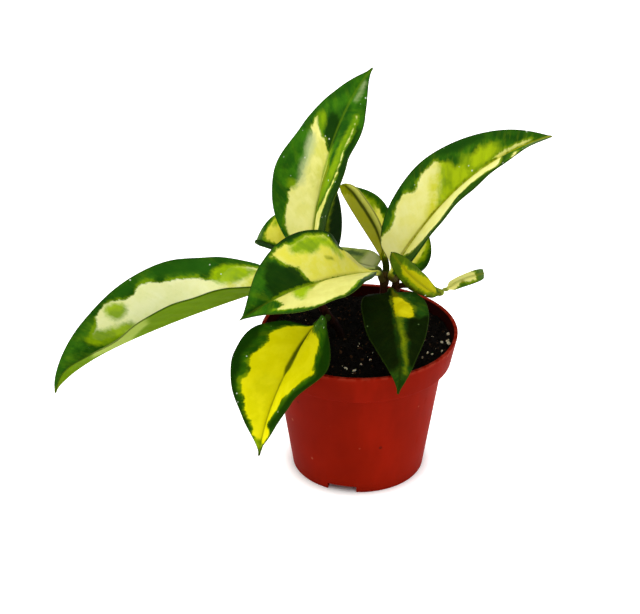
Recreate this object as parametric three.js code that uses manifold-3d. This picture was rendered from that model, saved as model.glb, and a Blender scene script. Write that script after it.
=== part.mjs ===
// A small hoya plant with cream and green leaves in a round terracotta-coloured pot.
// Millimetres, +Z up, origin in the middle of the pot's underside, front of the pot towards -Y.

import * as THREE from 'three';
import { mergeVertices } from 'three/addons/utils/BufferGeometryUtils.js';
import Module from 'manifold-3d';

// Pot: a thin moulded cone with a wider collar round the top
const POT_HEIGHT = 61;
const RIM_RADIUS = 40;
const COLLAR_BOTTOM_RADIUS = 37.5;
const COLLAR_BOTTOM = 48.9;
const BODY_TOP_RADIUS = 34.3;
const BODY_TOP = 48.4;
const BASE_RADIUS = 27;
const COLLAR_WALL = 1.5;
const BODY_WALL = 1.2;
const LIP_ROUND = 0.4;
const POT_SIDES = 56;

// Foot of the pot: outer ring, raised floor with drain holes, flat pad in the middle
const FLOOR_UNDERSIDE = 3;
const FLOOR_TOP = 4.4;
const FOOT_RING = 2.4;
const PAD_RADIUS = 9;
const NOTCH_WIDTH = 12;
const NOTCH_HEIGHT = 3;
const NOTCH_COUNT = 3;
const NOTCH_FIRST_ANGLE = -105;
const DRAIN_RADIUS = 3;
const DRAIN_CIRCLE = 17;

// Gap left between pieces that touch
const GAP = 0.3;

// Soil: filled to a few millimetres under the rim
const SOIL_LEVEL = 57.6;
const SOIL_RELIEF = 0.5;
const SOIL_SECTORS = POT_SIDES;
const SOIL_RINGS = [35, 30, 25, 20, 15, 10, 5];
const GRAIN_COUNT = 44;
const GRAIN_SIZE = [0.5, 0.9];

// Stems: woody cuttings set in the soil
const STEM_RADIUS = 1.6;
const SHOOT_RADIUS = 1.2;
const STEM_FOOT = 46;
const STEM_SIDES = 12;
const STEM_RINGS = 12;

// Leaves: fleshy blade, thickest along the midrib
const MIDRIB_THICKNESS = 1.6;
const MARGIN_THICKNESS = 0.7;
const PETIOLE_RADIUS = 1.4;
const TIP_HALF_WIDTH = 0.5;
const BASE_BLEND = 0.1;
const PETIOLE_RINGS = 5;
const PETIOLE_BEND = 0.4;
const RINGS_PER_MM = 0.26;
const COLUMNS = 4;
const CREASE = 1.8;
const WAVES = 2.5;
const HALF_SHIFT = 0.3;

const manifold = await Module();
manifold.setup();

// Turn a closed three.js geometry into a solid for cutting and joining
function solidOf(geometry) {
  const bare = geometry.clone();
  bare.deleteAttribute('normal');
  bare.deleteAttribute('uv');
  const welded = mergeVertices(bare, 1e-4);
  return new manifold.Manifold(new manifold.Mesh({
    numProp: 3,
    vertProperties: new Float32Array(welded.attributes.position.array),
    triVerts: new Uint32Array(welded.index.array),
  }));
}

// Turn a solid back into a three.js geometry
function geometryOf(solid) {
  const mesh = solid.getMesh();
  const geometry = new THREE.BufferGeometry();
  geometry.setAttribute('position', new THREE.BufferAttribute(new Float32Array(mesh.vertProperties), 3));
  geometry.setIndex(new THREE.BufferAttribute(new Uint32Array(mesh.triVerts), 1));
  return geometry;
}

function geometryFrom(points, faces) {
  const geometry = new THREE.BufferGeometry();
  geometry.setAttribute('position', new THREE.Float32BufferAttribute(points.flatMap((p) => p.toArray()), 3));
  geometry.setIndex(faces.flat());
  return geometry;
}

// A repeatable stream of numbers between 0 and 1
function seededNumbers(seed) {
  let state = seed;
  return () => {
    state = (state * 1664525 + 1013904223) % 4294967296;
    return state / 4294967296;
  };
}

function smoothStep(from, to, x) {
  const t = Math.min(Math.max((x - from) / (to - from), 0), 1);
  return t * t * (3 - 2 * t);
}

function mix(a, b, t) {
  return a + (b - a) * t;
}

function vector(xyz) {
  return new THREE.Vector3(...xyz);
}

function radians(degrees) {
  return degrees * Math.PI / 180;
}

// Radius of the pot's outside at a height
function outerRadius(z) {
  if (z <= BODY_TOP) return mix(BASE_RADIUS, BODY_TOP_RADIUS, z / BODY_TOP);
  return mix(COLLAR_BOTTOM_RADIUS, RIM_RADIUS, (z - COLLAR_BOTTOM) / (POT_HEIGHT - COLLAR_BOTTOM));
}

// Radius of the pot's inside at a height
function innerRadius(z) {
  const shelf = COLLAR_BOTTOM + BODY_WALL;
  return z < shelf ? outerRadius(Math.min(z, BODY_TOP)) - BODY_WALL : outerRadius(z) - COLLAR_WALL;
}

function lathe(profile, sides) {
  const geometry = new THREE.LatheGeometry(profile.map(([r, z]) => new THREE.Vector2(r, z)), sides);
  geometry.rotateX(Math.PI / 2);
  return geometry;
}

function potGeometry() {
  const shelf = COLLAR_BOTTOM + BODY_WALL;
  const ringInside = BASE_RADIUS - FOOT_RING;
  const profile = [
    [0, 0],
    [PAD_RADIUS - 1, 0],
    [PAD_RADIUS, FLOOR_UNDERSIDE],
    [ringInside, FLOOR_UNDERSIDE],
    [ringInside, 0],
    [BASE_RADIUS, 0],
    [BODY_TOP_RADIUS, BODY_TOP],
    [COLLAR_BOTTOM_RADIUS, COLLAR_BOTTOM],
    [outerRadius(POT_HEIGHT - LIP_ROUND), POT_HEIGHT - LIP_ROUND],
    [RIM_RADIUS - LIP_ROUND, POT_HEIGHT],
    [RIM_RADIUS - COLLAR_WALL + LIP_ROUND, POT_HEIGHT],
    [innerRadius(POT_HEIGHT - LIP_ROUND), POT_HEIGHT - LIP_ROUND],
    [innerRadius(shelf), shelf],
    [innerRadius(BODY_TOP), shelf - 0.4],
    [innerRadius(FLOOR_TOP), FLOOR_TOP],
    [0, FLOOR_TOP],
  ];
  let pot = solidOf(lathe(profile, POT_SIDES));
  for (let i = 0; i < NOTCH_COUNT; i += 1) {
    const angle = radians(NOTCH_FIRST_ANGLE + i * 360 / NOTCH_COUNT);
    pot = pot.subtract(notchCutter(angle)).subtract(drainCutter(angle));
  }
  return geometryOf(pot);
}

function notchCutter(angle) {
  const depth = FOOT_RING * 3;
  const box = new THREE.BoxGeometry(depth, NOTCH_WIDTH, NOTCH_HEIGHT * 2);
  box.translate(BASE_RADIUS, 0, 0);
  box.rotateZ(angle);
  return solidOf(box);
}

function drainCutter(angle) {
  const hole = new THREE.CylinderGeometry(DRAIN_RADIUS, DRAIN_RADIUS, FLOOR_TOP * 3, 24);
  hole.rotateX(Math.PI / 2);
  hole.translate(DRAIN_CIRCLE * Math.cos(angle), DRAIN_CIRCLE * Math.sin(angle), 0);
  return solidOf(hole);
}

// Height of the soil's surface: a few shallow waves, low beside the wall
function soilHeight(x, y) {
  const waves = Math.sin(x * 0.31 + 1.2) * Math.cos(y * 0.27 - 0.6) + 0.6 * Math.sin(x * 0.83 - y * 0.71);
  const wall = smoothStep(28, 37, Math.hypot(x, y));
  return SOIL_LEVEL + SOIL_RELIEF * waves - 0.8 * wall;
}

// Closed body of revolution whose upper rings follow the soil's surface
function soilBody() {
  const shelf = COLLAR_BOTTOM + BODY_WALL + GAP;
  const edge = SOIL_LEVEL - 0.8;
  const sides = [
    [innerRadius(FLOOR_TOP + GAP) - GAP, FLOOR_TOP + GAP],
    [innerRadius(BODY_TOP) - GAP, shelf],
    [innerRadius(shelf) - GAP, shelf + GAP],
    [innerRadius(edge) - GAP, null],
    ...SOIL_RINGS.map((radius) => [radius, null]),
  ];
  const points = [vector([0, 0, FLOOR_TOP + GAP])];
  for (const [radius, z] of sides) {
    for (let s = 0; s < SOIL_SECTORS; s += 1) {
      const angle = 2 * Math.PI * s / SOIL_SECTORS;
      const x = radius * Math.cos(angle);
      const y = radius * Math.sin(angle);
      points.push(vector([x, y, z ?? soilHeight(x, y)]));
    }
  }
  points.push(vector([0, 0, soilHeight(0, 0)]));
  const faces = [];
  const at = (ring, s) => 1 + ring * SOIL_SECTORS + (s % SOIL_SECTORS);
  for (let s = 0; s < SOIL_SECTORS; s += 1) {
    faces.push([0, at(0, s + 1), at(0, s)]);
    for (let ring = 0; ring < sides.length - 1; ring += 1) {
      faces.push([at(ring, s), at(ring, s + 1), at(ring + 1, s + 1)]);
      faces.push([at(ring, s), at(ring + 1, s + 1), at(ring + 1, s)]);
    }
    faces.push([at(sides.length - 1, s), at(sides.length - 1, s + 1), points.length - 1]);
  }
  return solidOf(geometryFrom(points, faces));
}

// Pale grains lying half sunk in the soil, more of them towards the front and right
function soilGrains() {
  const next = seededNumbers(7);
  const feet = stemFeet();
  const grains = [];
  while (grains.length < GRAIN_COUNT) {
    const angle = radians(mix(-130, 60, next()));
    const radius = 33 * Math.sqrt(next());
    const size = mix(GRAIN_SIZE[0], GRAIN_SIZE[1], next());
    const x = radius * Math.cos(angle);
    const y = radius * Math.sin(angle);
    const clear = feet.every(([fx, fy]) => Math.hypot(x - fx, y - fy) > STEM_RADIUS + GAP + 2 * size);
    if (!clear) continue;
    const grain = new THREE.IcosahedronGeometry(size, 0);
    grain.rotateX(next() * 3);
    grain.scale(1, mix(0.7, 1.1, next()), 0.8);
    grain.translate(x, y, soilHeight(x, y) - 0.15 * size);
    grains.push(solidOf(grain));
  }
  return grains;
}

function soilGeometry() {
  let soil = soilBody();
  for (const grain of soilGrains()) soil = soil.add(grain);
  for (const [x, y] of stemFeet()) {
    const depth = SOIL_LEVEL + 5 - STEM_FOOT + GAP;
    const hole = new THREE.CylinderGeometry(STEM_RADIUS + GAP, STEM_RADIUS + GAP, depth, 24);
    hole.rotateX(Math.PI / 2);
    hole.translate(x, y, STEM_FOOT - GAP + depth / 2);
    soil = soil.subtract(solidOf(hole));
  }
  return geometryOf(soil);
}

// Points along a cubic curve at even steps of its length, each with its direction
function evenStations(controls, count) {
  const curve = new THREE.CubicBezierCurve3(...controls);
  curve.arcLengthDivisions = 400;
  const stations = [];
  for (let i = 0; i <= count; i += 1) {
    const t = curve.getUtoTmapping(i / count);
    stations.push({ point: curve.getPoint(t), along: curve.getTangent(t) });
  }
  return stations;
}

// Round closed tube along a row of stations, domed a little at its free end
function tubeGeometry(stations, radiusAt) {
  let side = vector([1, 0, 0]);
  const points = [stations[0].point.clone()];
  stations.forEach(({ point, along }, i) => {
    side = side.clone().addScaledVector(along, -side.dot(along)).normalize();
    const up = new THREE.Vector3().crossVectors(along, side);
    for (let s = 0; s < STEM_SIDES; s += 1) {
      const angle = 2 * Math.PI * s / STEM_SIDES;
      points.push(point.clone()
        .addScaledVector(side, Math.cos(angle) * radiusAt(i))
        .addScaledVector(up, Math.sin(angle) * radiusAt(i)));
    }
  });
  const last = stations.length - 1;
  points.push(stations[last].point.clone().addScaledVector(stations[last].along, radiusAt(last) * 0.6));
  const faces = [];
  const at = (ring, s) => 1 + ring * STEM_SIDES + (s % STEM_SIDES);
  for (let s = 0; s < STEM_SIDES; s += 1) {
    faces.push([0, at(0, s + 1), at(0, s)]);
    for (let ring = 0; ring < last; ring += 1) {
      faces.push([at(ring, s), at(ring, s + 1), at(ring + 1, s + 1)]);
      faces.push([at(ring, s), at(ring + 1, s + 1), at(ring + 1, s)]);
    }
    faces.push([at(last, s), at(last, s + 1), points.length - 1]);
  }
  return geometryFrom(points, faces);
}

// A stem stands straight in the soil, then follows its own curve to the growing tip
function stemGeometry(curve) {
  const foot = curve[0].clone().setZ(STEM_FOOT);
  const straight = { point: foot, along: vector([0, 0, 1]) };
  const stations = [straight, ...evenStations(curve, STEM_RINGS)];
  return tubeGeometry(stations, (i) => STEM_RADIUS - 0.02 * i);
}

const STEM_LEFT = [[-7, 0, 56], [-7, 0, 64], [-17.5, 4, 66], [-18, 6.5, 80]].map(vector);
const STEM_MIDDLE = [[9, 6, 56], [9, 6, 66], [10, 5.5, 76], [10.2, 5, 84.5]].map(vector);
const STEM_RIGHT = [[14.5, 8, 56], [14.5, 8, 66], [14.7, 6.5, 76], [14.8, 6, 84.5]].map(vector);
const SIDE_SHOOT = [[14.8, 6.6, 77], [20, 4, 80], [28, 4.5, 79], [34, 5, 74.5]].map(vector);

function stemFeet() {
  return [STEM_LEFT, STEM_MIDDLE, STEM_RIGHT].map((curve) => [curve[0].x, curve[0].y]);
}

// The right stem carries a thin side shoot, grown from it in one piece
function rightStemGeometry() {
  const stem = solidOf(stemGeometry(STEM_RIGHT));
  const shoot = solidOf(tubeGeometry(evenStations(SIDE_SHOOT, 10), () => SHOOT_RADIUS));
  return geometryOf(stem.add(shoot));
}

// Reach of one half of a blade from base (0) to tip (1), widest where rise and fall balance
function halfWidth(leaf, half, u) {
  const [rise, fall] = leaf.ends;
  const widest = rise / (rise + fall);
  const top = widest ** rise * (1 - widest) ** fall;
  const blade = leaf.reach[half] * (u ** rise * (1 - u) ** fall) / top;
  const least = mix(leaf.petiole, TIP_HALF_WIDTH, u);
  return Math.hypot(blade, least);
}

// The left half of a blade is 0, the right half 1
function halfOf(v) {
  return v < 0 ? 0 : 1;
}

// Slope of a half blade: its folds at even steps from base to tip, plus its curl outwards
function slopeAt(leaf, u, v) {
  const folds = leaf.folds[halfOf(v)];
  const place = u * (folds.length - 1);
  const step = Math.min(Math.floor(place), folds.length - 2);
  const fold = mix(folds[step], folds[step + 1], smoothStep(0, 1, place - step));
  return radians(fold + leaf.curl * Math.abs(v));
}

// Middle of the blade's thickness at a place, with the direction its upper face looks: along
// the midrib it looks between its two halves, and from a crease's width away straight off them
function bladePoint(leaf, station, u, v) {
  const sign = v < 0 ? -1 : 1;
  const steps = 8;
  let across = 0;
  let up = 0;
  for (let i = 0; i < steps; i += 1) {
    const angle = slopeAt(leaf, u, v * (i + 0.5) / steps);
    across += Math.cos(angle) * Math.abs(v) / steps;
    up += Math.sin(angle) * Math.abs(v) / steps;
  }
  const width = halfWidth(leaf, halfOf(v), u);
  const ripple = Math.sin(2 * Math.PI * (WAVES * u + HALF_SHIFT * halfOf(v)));
  const wave = leaf.wave * ripple * v * v * Math.sin(Math.PI * u);
  const point = station.point.clone()
    .addScaledVector(station.side, sign * width * across)
    .addScaledVector(station.up, width * up + wave);
  const crease = (slopeAt(leaf, u, -1e-6) - slopeAt(leaf, u, 0)) / 2;
  const opened = Math.min(1, width * Math.abs(v) / CREASE);
  const lean = mix(crease, -sign * slopeAt(leaf, u, v), opened);
  const looks = station.up.clone().multiplyScalar(Math.cos(lean))
    .addScaledVector(station.side, Math.sin(lean));
  return { point, looks };
}

// Closed ring of points round petiole or blade: upper face left to right, then back underneath
function leafRing(leaf, station) {
  const blended = smoothStep(0, BASE_BLEND, station.u);
  const count = 4 * COLUMNS + 2;
  const ring = [];
  for (let k = 0; k < count; k += 1) {
    const under = k > 2 * COLUMNS;
    const column = under ? count - 1 - k : k;
    const v = (column - COLUMNS) / COLUMNS;
    const angle = Math.PI * (1 - (2 * k + 1) / count);
    const round = station.point.clone()
      .addScaledVector(station.side, leaf.petiole * Math.cos(angle))
      .addScaledVector(station.up, leaf.petiole * Math.sin(angle));
    if (blended > 0) {
      const { point, looks } = bladePoint(leaf, station, station.u, v);
      const thickness = mix(MIDRIB_THICKNESS, MARGIN_THICKNESS, Math.sqrt(Math.abs(v)));
      point.addScaledVector(looks, (under ? -0.5 : 0.5) * thickness * mix(1, 0.6, station.u ** 4));
      round.lerp(point, blended);
    }
    ring.push(round);
  }
  return ring;
}

// Stations of a leaf from the stem to the tip, with side and up directions carried along
function leafStations(leaf) {
  const midrib = leaf.midrib.map(vector);
  const length = new THREE.CubicBezierCurve3(...midrib).getLength();
  const count = Math.max(12, Math.round(length * RINGS_PER_MM));
  const blade = evenStations(midrib, count);
  blade.forEach((station, i) => {
    const face = vector(leaf.face);
    station.u = i / count;
    station.up = face.addScaledVector(station.along, -face.dot(station.along)).normalize();
  });
  const leave = vector(leaf.leaves).normalize();
  const start = vector(leaf.node).addScaledVector(leave, leaf.nodeRadius + GAP);
  const handle = start.distanceTo(midrib[0]) * PETIOLE_BEND;
  const petiole = evenStations([
    start,
    start.clone().addScaledVector(leave, handle),
    midrib[0].clone().addScaledVector(blade[0].along, -handle),
    midrib[0],
  ], PETIOLE_RINGS).slice(0, -1);
  let up = blade[0].up;
  for (const station of [...petiole].reverse()) {
    up = up.clone().addScaledVector(station.along, -up.dot(station.along)).normalize();
    station.up = up;
    station.u = 0;
  }
  const stations = [...petiole, ...blade];
  for (const station of stations) {
    station.side = new THREE.Vector3().crossVectors(station.along, station.up);
  }
  return stations;
}

// One closed skin over petiole and blade, upper and under face split into triangles alike
function leafGeometry(shape) {
  const defaults = { curl: 0, wave: 0, nodeRadius: STEM_RADIUS, petiole: PETIOLE_RADIUS };
  const leaf = { ...defaults, ...shape };
  const stations = leafStations(leaf);
  const count = 4 * COLUMNS + 2;
  const points = [stations[0].point.clone()];
  for (const station of stations) points.push(...leafRing(leaf, station));
  points.push(stations[stations.length - 1].point.clone());
  const last = stations.length - 1;
  const at = (ring, k) => 1 + ring * count + (k % count);
  const faces = [];
  for (let k = 0; k < count; k += 1) {
    faces.push([0, at(0, k + 1), at(0, k)]);
    for (let ring = 0; ring < last; ring += 1) {
      const a = at(ring, k);
      const b = at(ring, k + 1);
      const c = at(ring + 1, k + 1);
      const d = at(ring + 1, k);
      if (k < 2 * COLUMNS) faces.push([a, b, c], [a, c, d]);
      else faces.push([a, b, d], [b, c, d]);
    }
    faces.push([at(last, k), at(last, k + 1), points.length - 1]);
  }
  return geometryFrom(points, faces);
}

// Tall leaf on top of the left stem, its left half broad to the front
function tallLeaf() {
  return leafGeometry({
    node: [-18, 6.5, 80],
    nodeRadius: 1,
    leaves: [0, 0, 1],
    midrib: [[-18.6, 8, 86.5], [-18, 10, 111.4], [-12.5, 11, 147], [4.2, 14, 168]],
    face: [-0.45, -0.75, 0.45],
    reach: [21, 20.5],
    ends: [0.7, 1.17],
    folds: [[4, 6, 8, -11, -7, 25], [50, 47, 43, 32, 2, -20]],
    curl: 6,
  });
}

// Leaf rising to the right, its near half folded up and a little waved
function rightLeaf() {
  return leafGeometry({
    node: [14.8, 6.1, 82],
    leaves: [-0.35, -0.93, 0],
    midrib: [[12.9, 1.5, 85.6], [25.1, 4, 106.8], [42, 6, 133.2], [73.2, 2, 144.8]],
    face: [-0.3, -0.75, 0.6],
    reach: [17.9, 18.5],
    ends: [0.67, 0.96],
    folds: [[31, 24, 20, 16, 10], [43, 54, 56, 56, 60]],
    curl: 5,
    wave: 0.8,
  });
}

// Long leaf arching out to the left, a deep gutter that opens towards the tip
function leftLeaf() {
  return leafGeometry({
    node: [-17.6, 5.7, 76],
    leaves: [-1, -0.1, 0],
    midrib: [[-27.8, 3, 82], [-66.5, -4, 72.7], [-118.5, -16, 56], [-120.7, -25, 46.5]],
    face: [-0.1, -0.5, 0.85],
    reach: [24.4, 23.4],
    ends: [0.78, 1],
    folds: [[52, 70, 71, 62, 82], [-4, 8, 28, 42, 6]],
  });
}

// Broad leaf across the middle, pointing forwards and left
function centreLeaf() {
  return leafGeometry({
    node: [10.1, 5.1, 82],
    leaves: [-0.4, -0.9, 0],
    petiole: 1.2,
    midrib: [[7.3, 1, 86.1], [-8, -16, 94.1], [-27, -38, 101.3], [-45.8, -45, 90]],
    face: [-0.1, -0.8, 0.6],
    reach: [22, 21],
    ends: [1.35, 1.15],
    folds: [[71, 71, 65, 53, 47, 60], [-45, -2, 26, 20, 20, 50]],
  });
}

// Yellow leaf hanging over the front left of the rim
function yellowLeaf() {
  return leafGeometry({
    node: [-12.3, 2.3, 65.7],
    leaves: [-0.2, -0.95, 0.23],
    midrib: [[-17.4, -12, 69.2], [-22.8, -28, 69.5], [-34.2, -46, 62.1], [-39.6, -47, 30.9]],
    face: [-0.35, -0.9, 0.35],
    reach: [22, 22.8],
    ends: [0.85, 1.3],
    folds: [[65, 58, 35, 53, 59, 58], [18, 10, 3, 19, 5, -15]],
  });
}

// Dark leaf hanging over the front of the rim
function frontLeaf() {
  return leafGeometry({
    node: [14.7, 6.7, 75.5],
    leaves: [-0.4, -0.92, 0],
    midrib: [[12.5, -4, 80.2], [12.2, -24, 81.2], [16.6, -46, 75.3], [14.2, -47, 59.1]],
    face: [0, -0.9, 0.4],
    reach: [13.5, 13.5],
    ends: [0.65, 1.25],
    folds: [[16, 8, 0, 0, 12, 20], [5, 22, 22, 6, 0, 3]],
  });
}

// Young leaf of the side shoot, leaning back over the foot of the right leaf
function shootInnerLeaf() {
  return leafGeometry({
    node: [32.1, 4.85, 75.7],
    nodeRadius: SHOOT_RADIUS,
    petiole: 0.8,
    leaves: [0, -1, 0],
    midrib: [[32.1, 1.5, 76.3], [27, -5.3, 80.8], [17.3, -16.8, 95.3], [12, -16.6, 104]],
    face: [0.3, -0.9, 0.3],
    reach: [4.5, 4.5],
    ends: [0.6, 0.5],
    folds: [[0, 0], [0, 0]],
    curl: -30,
  });
}

// Young leaf at the end of the side shoot, still rolled down at both edges
function shootOuterLeaf() {
  return leafGeometry({
    node: [33.2, 4.95, 75.1],
    nodeRadius: SHOOT_RADIUS,
    petiole: 0.8,
    leaves: [0.6, 0, 0.8],
    midrib: [[35.6, 4.6, 77.1], [38.9, 4.2, 80.9], [44.6, 3.2, 83.7], [49.6, 1.8, 85.6]],
    face: [0.1, -0.5, 0.9],
    reach: [3.2, 3.1],
    ends: [0.2, 0.2],
    folds: [[-20, -15], [-55, -45]],
  });
}

// Short round leaf behind the right one
function backRightLeaf() {
  return leafGeometry({
    node: [14.8, 6.1, 81.5],
    leaves: [0.5, 0.85, 0],
    petiole: 1.1,
    midrib: [[17.7, 10, 82.8], [20.8, 17, 86], [22, 26, 92], [20, 34, 100]],
    face: [0.3, -0.8, 0.4],
    reach: [9.3, 9.3],
    ends: [0.45, 0.9],
    folds: [[15, 15], [15, 15]],
  });
}

// Leaf behind the middle, folded nearly shut so that its underside shows
function foldedLeaf() {
  return leafGeometry({
    node: [10.1, 5.2, 80],
    leaves: [0.1, 1, 0],
    midrib: [[10, 12, 87.2], [5.1, 14, 96.1], [-2.1, 22, 103], [-7.6, 34, 109]],
    face: [0.7, -0.28, 0.66],
    reach: [12, 12],
    ends: [0.75, 0.75],
    folds: [[64, 64], [54, 54]],
  });
}

// Narrow dark leaf standing behind the tall one
function behindLeaf() {
  return leafGeometry({
    node: [-17.2, 5.3, 74.3],
    leaves: [0.3, 0.95, 0],
    midrib: [[-14.2, 16, 83.6], [-13.6, 20, 91.4], [-12.6, 26, 104.2], [-13.4, 34, 116.1]],
    face: [0.2, -0.9, 0.3],
    reach: [6.5, 6.5],
    ends: [0.5, 0.8],
    folds: [[10, 10], [10, 10]],
  });
}

// Small leaf peeping out to the left of the tall one, its near half folded up
function smallLeftLeaf() {
  return leafGeometry({
    node: [-17.8, 6.1, 78],
    leaves: [-0.3, 0.95, 0],
    midrib: [[-19.8, 12, 84.5], [-27.1, 14, 87.8], [-34, 20, 87.8], [-42.2, 24, 88.1]],
    face: [-0.3, -0.6, 0.7],
    reach: [8, 16.8],
    ends: [0.6, 0.5],
    folds: [[85, 85], [18, 10]],
  });
}

// Leaf lying back in the shade behind the centre one
function shadedLeaf() {
  return leafGeometry({
    node: [10.2, 5, 83],
    leaves: [-0.6, 0.8, 0],
    petiole: 1.1,
    midrib: [[7.3, 8.6, 84.2], [1.2, 14, 82.8], [-6.5, 25, 79.6], [-14, 36, 79.4]],
    face: [0, -0.2, 0.95],
    reach: [10.8, 10],
    ends: [0.6, 0.8],
    folds: [[10, 10], [4, 4]],
  });
}

function potPlastic() {
  return new THREE.MeshStandardMaterial({ color: 0xa5301c, roughness: 0.45, metalness: 0 });
}

function pottingSoil() {
  return new THREE.MeshStandardMaterial({ color: 0x1d1612, roughness: 1, metalness: 0 });
}

function stemBark() {
  return new THREE.MeshStandardMaterial({ color: 0x6a3a2c, roughness: 0.7, metalness: 0 });
}

function leafSkin(color) {
  return new THREE.MeshStandardMaterial({ color, roughness: 0.4, metalness: 0, flatShading: false });
}

function creamLeaf() {
  return leafSkin(0xc9cc6e);
}

function yellowGreenLeaf() {
  return leafSkin(0xb9b52a);
}

function darkLeaf() {
  return leafSkin(0x2c5a24);
}

function piece(name, geometry, material) {
  const plain = geometry.index ? geometry.toNonIndexed() : geometry;
  plain.computeVertexNormals();
  const mesh = new THREE.Mesh(plain, material);
  mesh.name = name;
  return mesh;
}

const plant = new THREE.Group();
plant.name = 'potted_hoya';
plant.add(
  piece('pot', potGeometry(), potPlastic()),
  piece('soil', soilGeometry(), pottingSoil()),
  piece('stem_left', stemGeometry(STEM_LEFT), stemBark()),
  piece('stem_middle', stemGeometry(STEM_MIDDLE), stemBark()),
  piece('stem_right', rightStemGeometry(), stemBark()),
  piece('leaf_tall', tallLeaf(), creamLeaf()),
  piece('leaf_right', rightLeaf(), creamLeaf()),
  piece('leaf_left', leftLeaf(), creamLeaf()),
  piece('leaf_centre', centreLeaf(), creamLeaf()),
  piece('leaf_yellow', yellowLeaf(), yellowGreenLeaf()),
  piece('leaf_front', frontLeaf(), darkLeaf()),
  piece('leaf_shoot_inner', shootInnerLeaf(), yellowGreenLeaf()),
  piece('leaf_shoot_outer', shootOuterLeaf(), creamLeaf()),
  piece('leaf_back_right', backRightLeaf(), yellowGreenLeaf()),
  piece('leaf_folded', foldedLeaf(), yellowGreenLeaf()),
  piece('leaf_behind', behindLeaf(), darkLeaf()),
  piece('leaf_small_left', smallLeftLeaf(), creamLeaf()),
  piece('leaf_shaded', shadedLeaf(), darkLeaf()),
);

export default plant;
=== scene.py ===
# A small hoya plant with cream and green leaves in a terracotta-coloured nursery pot.
# The scene is in metres, the plant's own sizes are in millimetres. +Z is up, the origin is in
# the middle of the pot's underside, and the front looks towards -Y.

import math

import bmesh
import bpy
import numpy as np
from mathutils import Matrix, Vector


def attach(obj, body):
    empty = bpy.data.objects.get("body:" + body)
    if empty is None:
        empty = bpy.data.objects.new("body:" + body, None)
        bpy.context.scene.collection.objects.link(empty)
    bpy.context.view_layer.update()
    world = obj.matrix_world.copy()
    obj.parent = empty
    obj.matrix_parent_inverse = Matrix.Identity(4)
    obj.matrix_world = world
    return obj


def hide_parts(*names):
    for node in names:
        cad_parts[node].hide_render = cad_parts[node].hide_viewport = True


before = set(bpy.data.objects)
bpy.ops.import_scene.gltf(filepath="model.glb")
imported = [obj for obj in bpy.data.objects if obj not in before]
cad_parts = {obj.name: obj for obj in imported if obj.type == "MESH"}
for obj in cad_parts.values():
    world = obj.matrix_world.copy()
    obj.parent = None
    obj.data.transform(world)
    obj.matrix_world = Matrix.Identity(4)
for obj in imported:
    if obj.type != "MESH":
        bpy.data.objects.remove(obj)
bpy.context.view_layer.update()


# Camera: a product shot from straight in front and a little above, 0.8 m away through a long
# lens, with the whole plant in frame.

CAMERA_TILT = math.radians(28.4)
CAMERA_DISTANCE = 0.8
CAMERA_LENS = 111.94
CAMERA_AIM = Vector((-0.0158, 0.0, 0.07125))

camera_data = bpy.data.cameras.new("product_camera")
camera_data.sensor_width = 36
camera_data.lens = CAMERA_LENS
camera_data.clip_start = 0.05
camera = bpy.data.objects.new("product_camera", camera_data)
towards_camera = Vector((0, -math.cos(CAMERA_TILT), math.sin(CAMERA_TILT)))
camera.location = CAMERA_AIM + towards_camera * CAMERA_DISTANCE
camera.rotation_euler = (math.pi / 2 - CAMERA_TILT, 0, 0)
bpy.context.scene.collection.objects.link(camera)
bpy.context.scene.camera = camera
bpy.context.scene.view_settings.view_transform = "Standard"


# Studio: one very broad soft lamp overhead, a smaller one on each side that brightens the
# flanks of the pot, one in front of the plant, and a room that is dim on the camera's side.

world = bpy.data.worlds.new("studio")
world.use_nodes = True
room = world.node_tree.nodes["Background"]
room_place = world.node_tree.nodes.new("ShaderNodeTexCoord")
room_axes = world.node_tree.nodes.new("ShaderNodeSeparateXYZ")
room_light = world.node_tree.nodes.new("ShaderNodeMapRange")
room_range = {"From Min": -0.9, "From Max": 0.5, "To Min": 0.06, "To Max": 0.42}
for socket, value in room_range.items():
    room_light.inputs[socket].default_value = value
world.node_tree.links.new(room_place.outputs["Generated"], room_axes.inputs["Vector"])
world.node_tree.links.new(room_axes.outputs["Y"], room_light.inputs["Value"])
world.node_tree.links.new(room_light.outputs["Result"], room.inputs["Strength"])
room.inputs["Color"].default_value = (1, 1, 1, 1)
bpy.context.scene.world = world


def soft_lamp(name, place, aim, size, power):
    data = bpy.data.lights.new(name, "AREA")
    data.shape = "RECTANGLE"
    data.size, data.size_y = size
    data.energy = power
    lamp = bpy.data.objects.new(name, data)
    lamp.location = place
    lamp.rotation_euler = (Vector(aim) - Vector(place)).to_track_quat("-Z", "Y").to_euler()
    bpy.context.scene.collection.objects.link(lamp)


soft_lamp("overhead_lamp", (-0.15, -0.1, 1.15), (0, 0, 0.05), (1.4, 1.4), 13)
soft_lamp("left_lamp", (-0.9, 0.05, 0.35), (0, 0, 0.06), (0.7, 0.7), 3.5)
soft_lamp("right_lamp", (0.9, 0.05, 0.35), (0, 0, 0.06), (0.7, 0.7), 3.5)
soft_lamp("front_lamp", (0.25, -1.1, 0.75), (0, 0, 0.08), (0.9, 0.9), 4)


# Table: a plain white surface that glows from the pot's foot outwards, so that it shows blank.
# Its finish, like all the others, is written as sums: a signal stands for one socket, and an
# expression on signals adds its nodes.

MM = 0.001
TABLE_REACH = 4
TABLE_GLOW = 0.75
GLOW_FROM = 24
GLOW_FULL = 34


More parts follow.
